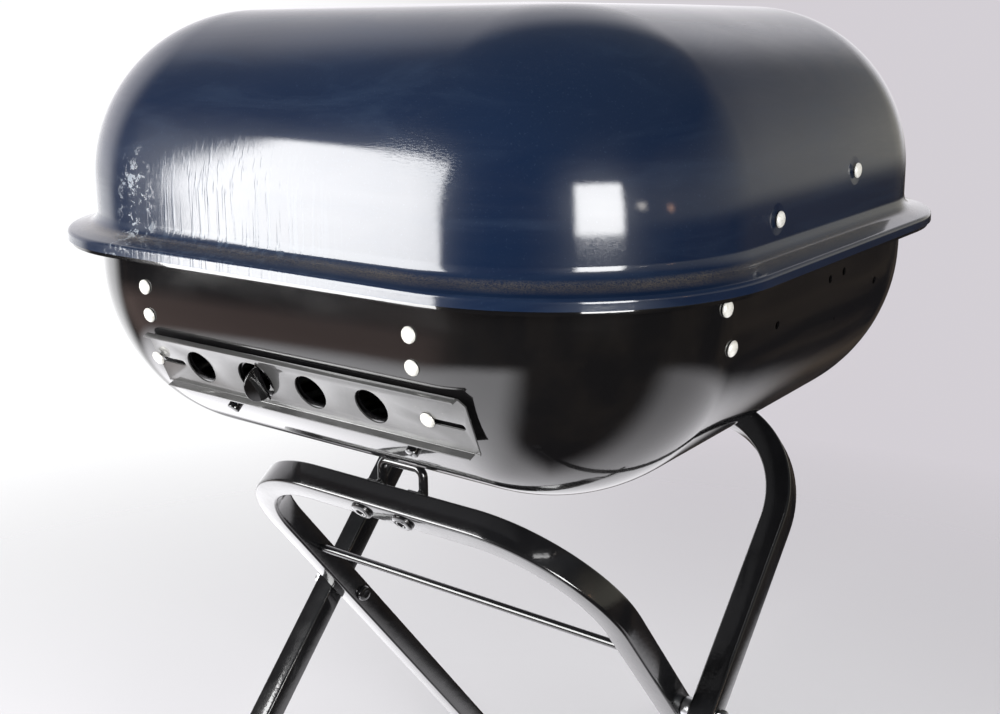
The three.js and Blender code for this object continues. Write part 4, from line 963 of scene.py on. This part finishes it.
def hex_shell(flats, low, high, bore):
    """A nut with chamfered corners and a plain bore."""
    reach, face = flats / math.cos(math.radians(30)), flats * 0.93
    profile = [(bore, high), (face, high), (reach, high - 0.9), (reach, low + 0.9), (face, low), (bore, low)]
    rings = []
    for radius, height in profile:
        ring = []
        for k in range(36):
            turn = 2 * math.pi * k / 36
            from_flat = (turn + math.pi / 6) % (math.pi / 3) - math.pi / 6
            r = min(radius, flats / math.cos(from_flat))
            ring.append(Vector((r * math.cos(turn), r * math.sin(turn), height)))
        rings.append(ring)
    return loft(rings, closed=True)


def pan_head(radius, height, shank, length):
    """A pan-head screw along +Z: the dimpled head below height 0, the shank above it."""
    profile = [(0, -height + 1.1), (radius * 0.36, -height + 1.0), (radius * 0.42, -height + 0.1)]
    profile += [(radius * 0.6, -height), (radius * 0.85, -height * 0.86), (radius * 0.97, -height * 0.55)]
    profile += [(radius, -height * 0.2), (radius, 0), (shank, 0), (shank, length - 0.8)]
    return lathe([*profile, (shank - 0.7, length), (0, length)], 40)


def make_pivot(hand, name):
    """The bolt that joins the two loops, its spacer between them and its nut."""
    outward = X * hand
    axis = Vector((0, PIVOT_Y, PIVOT_Z))
    half_tube = TUBE / 2
    front_inner, front_outer = FRONT_LOOP["half"] - half_tube, FRONT_LOOP["half"] + half_tube
    rear_inner, rear_outer = REAR_LOOP["half"] - half_tube, REAR_LOOP["half"] + half_tube
    body, bore = "front_leg_loop", 3.45
    head = stand_along(axis + outward * (front_inner - GAP), outward)
    bolt = moved(head, pan_head(6.6, 4.2, 3.1, rear_outer - front_inner + 9))
    piece(f"pivot_bolt_head_{name}", *bolt, *ON_FRONT_LOOP, [f"pivot_bolt_{name}"])
    low, high = front_outer + GAP, rear_inner - GAP
    ring = [(bore, low), (6.9, low), (7.5, low + 0.6), (7.5, high - 0.6), (6.9, high), (bore, high)]
    spacer = moved(stand_along(axis, outward), tube_lathe(ring))
    piece(f"pivot_sleeve_{name}", *spacer, body, "zinc_steel", [f"pivot_spacer_{name}"])
    low = rear_outer + GAP
    nut = moved(stand_along(axis, outward), hex_shell(5.5, low, low + 5.6, bore))
    piece(f"pivot_locknut_{name}", *nut, body, "zinc_steel", [f"pivot_nut_{name}"])


def make_stand():
    make_loop("leg_loop_front", FRONT_LOOP, "front_leg_loop", "stand_loop_front")
    make_loop("leg_loop_rear", REAR_LOOP, "rear_leg_loop", "stand_loop_rear")
    matrix = loop_matrix(FRONT_LOOP)
    reach = FRONT_LOOP["half"] - TUBE / 2 + 3
    place = matrix @ Vector((0, ROD_ABOVE_PIVOT, 0))
    rod = cylinder(place, X, -reach, reach, ROD_RADIUS, 28)
    piece("cross_rod", *rod, *ON_FRONT_LOOP, ["stand_cross_rod"])
    for hand, name in HANDS:
        make_foot(f"boot_front_{name}", FRONT_LOOP, hand, "front_leg_loop", f"foot_front_loop_{name}")
        make_foot(f"boot_rear_{name}", REAR_LOOP, hand, "rear_leg_loop", f"foot_rear_loop_{name}")
        make_pivot(hand, name)
        head = matrix @ Vector((hand * SADDLE_X, FRONT_LOOP["to_bar"], TUBE / 2 + GAP))
        screw = moved(stand_along(head, matrix.to_3x3() @ -Z), pan_head(8.0, 2.6, 2.4, TUBE + 6))
        piece(f"saddle_screw_head_{name}", *screw, *ON_FRONT_LOOP, [f"saddle_screw_{name}"])


def saddle_path():
    """(x, z) middle line of the U-shaped rod, from one leg's lower end to the other's."""
    top = BOWL_FLOOR - SADDLE_CLEAR - SADDLE_ROD
    path = [(-SADDLE_X, top - SADDLE_LEG), (-SADDLE_X, top - 20)]
    path += arc((-SADDLE_X + SADDLE_BEND, top - SADDLE_BEND), SADDLE_BEND, 180, 90, 12)
    path += arc((SADDLE_X - SADDLE_BEND, top - SADDLE_BEND), SADDLE_BEND, 90, 0, 12)
    return path + [(SADDLE_X, top - 20), (SADDLE_X, top - SADDLE_LEG)]


def make_saddle():
    """The bent rod, trimmed at the bar's back face, and the two pads that its legs end in."""
    path = saddle_path()
    rings = []
    for i, (x, z) in enumerate(path):
        x_before, z_before = path[max(i - 1, 0)]
        x_after, z_after = path[min(i + 1, len(path) - 1)]
        out = Vector((z_before - z_after, 0, x_after - x_before)).normalized()
        middle = Vector((x, SADDLE_Y, z))
        rings.append([middle + (out * cos + Y * sin) * SADDLE_ROD for cos, sin in compass(28)])
    rod = piece("saddle_rod", *loft(rings), *ON_FRONT_LOOP, ["front_saddle"])
    matrix = loop_matrix(FRONT_LOOP)
    bar, back = FRONT_LOOP["to_bar"], TUBE / 2 + GAP
    far = 2 * SADDLE_LEG
    in_front = box_shell((-far, bar - far, -back), (far, bar + far, far))
    below = box_shell((-far, bar - far, -far), (far, bar - SADDLE_PAD_TALL, far))
    for trim in (in_front, below):
        cut(rod, moved(matrix, trim))
    for hand, name in HANDS:
        x = hand * SADDLE_X
        low = (x - SADDLE_PAD_HALF, bar - SADDLE_PAD_TALL, -back - SADDLE_PAD_SHEET)
        pad = box_shell(low, (x + SADDLE_PAD_HALF, bar + SADDLE_PAD_TALL, -back))
        plate = piece(f"saddle_pad_{name}", *moved(matrix, pad), *ON_FRONT_LOOP, [])
        rounded(plate, 0.9, 3)


# ---- Grids ----


def wire_loop(path, wire, sides=14):
    rings = []
    for i, point in enumerate(path):
        before, after = path[i - 1], path[(i + 1) % len(path)]
        out = (after - before).normalized().cross(Z).normalized()
        rings.append([point + out * wire * cos + Z * wire * sin for cos, sin in compass(sides)])
    return loft(rings, closed=True)


def round_rod(place, direction, reach, radius, sides=14):
    """A wire with slightly rounded ends, centred on a place."""
    straight = reach - radius * 0.4
    profile = [(0, -reach), (radius * 0.7, -reach), (radius, -straight), (radius, straight)]
    profile += [(radius * 0.7, reach), (0, reach)]
    return moved(stand_along(place, direction), lathe(profile, sides))


def make_grid(name, node, slot, half, corner, top, wire, rods, bearer_y):
    """A frame wire with rods across it and two bearers under them."""
    z = top - wire
    shells = [wire_loop(level_ring(half - wire, corner - wire, z), wire)]
    straight = half - corner

    def reach_at(across, middle):
        past = max(abs(across) - straight, 0)
        bend = corner - wire
        return middle - bend + math.sqrt(bend * bend - past * past)

    pitch = 2 * (half - wire) / (rods + 1)
    for i in range(1, rods + 1):
        x = -(half - wire) + i * pitch
        reach = reach_at(x, half - wire - DEPTH_TRIM)
        shells.append(round_rod(Vector((x, 0, z)), Y, reach, wire * 0.8))
    for y in (-bearer_y, bearer_y):
        place = Vector((0, y, z - wire * 0.9))
        shells.append(round_rod(place, X, reach_at(y, half - wire), wire * 0.9))
    piece(name, *joined(*shells), node, slot, [node])


# ---- Hood handle ----


def grip_rings(middle_x):
    """Sections of the moulded grip along y: rounded ends and two slight finger swells."""
    rings = []
    steps = 44
    for i in range(steps + 1):
        share = i / steps * 2 - 1
        y = share * GRIP_LONG / 2
        end = max(abs(y) - (GRIP_LONG / 2 - GRIP_END), 0) / GRIP_END
        shrink = math.sqrt(max(1 - end * end, 0)) * 0.42 + 0.58 if end < 1 else 0.58
        swell = 1 - 0.05 * math.cos(share * math.pi * 4) * (1 - share * share)
        thick, tall = GRIP_THICK * shrink * min(swell, 1), GRIP_TALL * shrink * min(swell, 1)
        section = rounded_rectangle(thick, tall, 8.5 * shrink)
        rings.append([Vector((middle_x + a, y, HANDLE_Z + b)) for a, b in section])
    return rings


def post_outline():
    """Closed (radius, height) outline of a turned post with a flange at the wall and one at the grip."""
    outline = [(2.8, 0), (9.2, 0), (9.2, 1.2), (7.2, 2.0), (6.5, 3.4)]
    for radius, below in ((6.5, 3.2), (7.4, 2), (8.4, 1.2), (8.4, 0), (2.8, 0)):
        outline.append((radius, HANDLE_REACH - below))
    return outline


def make_handle():
    wall = -(HOOD_HALF + GAP)
    inside = -(HOOD_HALF - HOOD_DRAFT - SHEET) + 1.6
    grip_inner = wall - HANDLE_REACH - GAP
    rings = grip_rings(grip_inner - GRIP_THICK / 2)
    grip = piece("handle_grip", *loft(rings), "hood", "black_plastic", ["hood_handle_grip"])
    posts = ((-HANDLE_POSTS_Y, "front"), (HANDLE_POSTS_Y, "rear"))
    cut(grip, *[cylinder(Vector((grip_inner, y, HANDLE_Z)), X, -14, 5, 2.8, 20) for y, _ in posts])
    for y, end in posts:
        post = moved(stand_along(Vector((wall, y, HANDLE_Z)), -X), tube_lathe(post_outline()))
        piece(f"handle_standoff_{end}", *post, "hood", "zinc_steel", [f"hood_handle_post_{end}"])
        head = stand_along(Vector((inside, y, HANDLE_Z)), -X)
        screw = moved(head, pan_head(5.0, 2.6, 2.4, inside - grip_inner + 12))
        piece(f"handle_bolt_{end}", *screw, "hood", "zinc_steel", [f"hood_handle_screw_{end}"])


# ---- Build ----

make_hood()
make_bowl()
for side_number, end_name in SIDE_ENDS:
    make_damper(side_number, end_name)
make_studs()
wall_rivets()
make_stand()
make_saddle()
make_grid("cooking_rack", "cooking_grid", "grid_chrome", **GRID)
make_grid("coal_rack", "charcoal_grate", "zinc_steel", **GRATE)
make_handle()

slots = {part["node"]: part["material_slot"] for part in frame["record"]["subparts"]}
for node_name, thing in frame["nodes"].items():
    thing.data.materials.clear()
    thing.data.materials.append(MATERIALS[slots[node_name]])
    shade(thing.data)


# ---- Camera ----

CAMERA_AT = Vector((0.54277, -0.67775, 0.76684))
CAMERA_AZIMUTH, CAMERA_DROP, CAMERA_ROLL = (math.radians(v) for v in (36.781, 15.040, -0.480))
FOCAL_PIXELS, IMAGE_WIDTH, SENSOR = 1228.79, 1000, 36.0


def make_camera():
    sin_a, cos_a = math.sin(CAMERA_AZIMUTH), math.cos(CAMERA_AZIMUTH)
    sin_e, cos_e = math.sin(CAMERA_DROP), math.cos(CAMERA_DROP)
    back = Vector((sin_a * cos_e, -cos_a * cos_e, sin_e))
    right = Vector((cos_a, sin_a, 0))
    up = back.cross(right)
    cos_r, sin_r = math.cos(CAMERA_ROLL), math.sin(CAMERA_ROLL)
    data = bpy.data.cameras.new("camera")
    data.sensor_width = SENSOR
    data.lens = FOCAL_PIXELS * SENSOR / IMAGE_WIDTH
    data.clip_start, data.clip_end = 0.02, 60
    camera = add_object("camera", data)
    camera.matrix_world = basis(CAMERA_AT, right * cos_r + up * sin_r, up * cos_r - right * sin_r, back)
    bpy.context.scene.camera = camera


# ---- Studio ----


def area_light(name, place, target, width, height, power, colour=(1, 1, 1), in_mirror=True):
    data = bpy.data.lights.new(name, "AREA")
    data.shape = "RECTANGLE"
    data.size, data.size_y = width, height
    data.energy = power
    data.color = colour
    light = add_object(name, data)
    light.location = place
    light.rotation_euler = (Vector(target) - Vector(place)).to_track_quat("-Z", "Y").to_euler()
    light.visible_camera = False
    light.visible_glossy = in_mirror


def surroundings():
    """Pale paper for the camera, with painted shade that darkens it towards the right; the room that the
    enamel mirrors for every other ray.
    """
    world = bpy.data.worlds.new("studio")
    bpy.context.scene.world = world
    world.use_nodes = True
    tree = world.node_tree
    studio = Nodes(tree, "Generated")
    across = studio.along((math.cos(CAMERA_AZIMUTH), math.sin(CAMERA_AZIMUTH), 0))
    # Painted shade: the paper seen by the camera darkens from left to right, as if lit from the left.
    painted_shade_to_right = studio.steps(across, -0.22, 0.16, soft=True)
    paper = studio.mix(painted_shade_to_right, (1.02, 1.02, 1.03), (0.655, 0.625, 0.665))
    camera_ray = tree.nodes.new("ShaderNodeLightPath").outputs["Is Camera Ray"]
    background = tree.nodes["Background"]
    studio.link(studio.mix(camera_ray, mirrored_room(studio), paper), background.inputs["Color"])
    background.inputs["Strength"].default_value = 1.0


def mirrored_room(studio):
    """A dark, brownish room in front, lit paper behind, and a floor that is brightest on the left."""
    x, y, z = (studio.along(axis) for axis in (X, Y, Z))

    def facing(direction, low, high, soft=True):
        return studio.steps(studio.along((*direction, 0)), low, high, soft=soft)

    level = studio.steps(z, -0.12, 0.0, soft=True)
    low = studio.steps(z, -0.44, -0.56, soft=True)
    clutter = studio.patches(2.6, 4.0, 0.6, 0.42, 0.7)
    brown = studio.times(studio.steps(x, -0.3, -0.65, soft=True), studio.steps(z, -0.2, -0.3))
    olive = studio.times(facing((0.42, 0.91), 0.1, 0.5), level, studio.steps(z, 0.55, 0.12))
    behind = studio.times(facing((-0.77, 0.64), 0.5, 0.74), level, studio.steps(z, 0.1, 0.95, 1.0, 0.45))
    sweep = studio.times(facing((-0.95, 0.31), 0.84, 0.92, soft=False), studio.steps(z, 0.1, -0.1))
    far = studio.math("MAXIMUM", facing((0, 1), 0.0, 0.35), facing((1, 0), 0.0, -0.25))
    return studio.layered(
        studio.mix(clutter, (0.015, 0.014, 0.016), (0.1, 0.078, 0.06)),
        (studio.times(brown, studio.steps(y, 0.0, -0.3)), (0.4, 0.29, 0.26)),
        (studio.steps(z, 0.35, 0.85, soft=True), (0.12, 0.13, 0.14)),
        (olive, (0.5, 0.475, 0.4)),
        (behind, (1.0, 0.98, 1.02)),
        (sweep, (1.3, 1.3, 1.32)),
        (studio.times(low, far), (1.1, 1.08, 1.12)),
        (studio.times(low, facing((-0.82, -0.57), 0.16, 0.46)), (2.3, 2.28, 2.35)),
    )


def make_floor():
    """A pale disc that fades into the backdrop at its rim."""
    floor = Paint("floor_paper")
    floor.set(IOR=1.4, Roughness=0.8)
    floor.colour(floor.mix(floor.noise(1.2, 2.0, 0.5), (0.67, 0.66, 0.68), (0.7, 0.69, 0.71)))
    clear = floor.tree.nodes.new("ShaderNodeBsdfTransparent")
    fade = floor.tree.nodes.new("ShaderNodeMixShader")
    floor.link(floor.ball((0, 0, 0), 1.5), fade.inputs[0])
    floor.link(clear.outputs[0], fade.inputs[1])
    floor.link(floor.shader.outputs[0], fade.inputs[2])
    floor.link(fade.outputs[0], floor.output.inputs[0])
    mesh = bpy.data.meshes.new("floor")
    size, steps = 1.6, 96
    rim = level_circle(size, 0, steps)
    mesh.from_pydata([(0, 0, 0), *rim], [], [(0, 1 + k, 1 + (k + 1) % steps) for k in range(steps)])
    mesh.materials.append(floor.material)
    ground = add_object("floor", mesh)
    ground.visible_glossy = False


def panel(name, left, right, low, high, radiance, colour=(1, 1, 1)):
    """An upright light panel between two (x, y) corners and two heights, facing the grill."""
    left, right = Vector((*left, 0)), Vector((*right, 0))
    width, height = (right - left).length, high - low
    middle = (left + right) / 2 + Z * (low + high) / 2
    facing = (right - left).normalized().cross(Z)
    target = middle + facing * (1 if facing.dot(-middle) > 0 else -1)
    area_light(name, middle, target, width, height, radiance * math.pi * width * height, colour)


def make_studio():
    surroundings()
    make_floor()
    panel("key", (-1.235, -1.145), (-0.407, -1.591), 0.37, 1.41, 15)
    panel("window", (1.62, -1.53), (2.15, -0.87), 0.445, 1.37, 20)
    panel("lamp_a", (2.28, -0.62), (2.34, -0.48), 0.84, 0.96, 9, (1.0, 0.93, 0.85))
    panel("lamp_b", (2.4, 0.0), (2.41, 0.1), 0.74, 0.86, 6, (1.0, 0.55, 0.35))
    area_light("top", (-0.3, 0.2, 2.6), (0, 0, 0.3), 1.6, 1.6, 26, in_mirror=False)
    bpy.context.scene.view_settings.view_transform = "Standard"


make_camera()
make_studio()
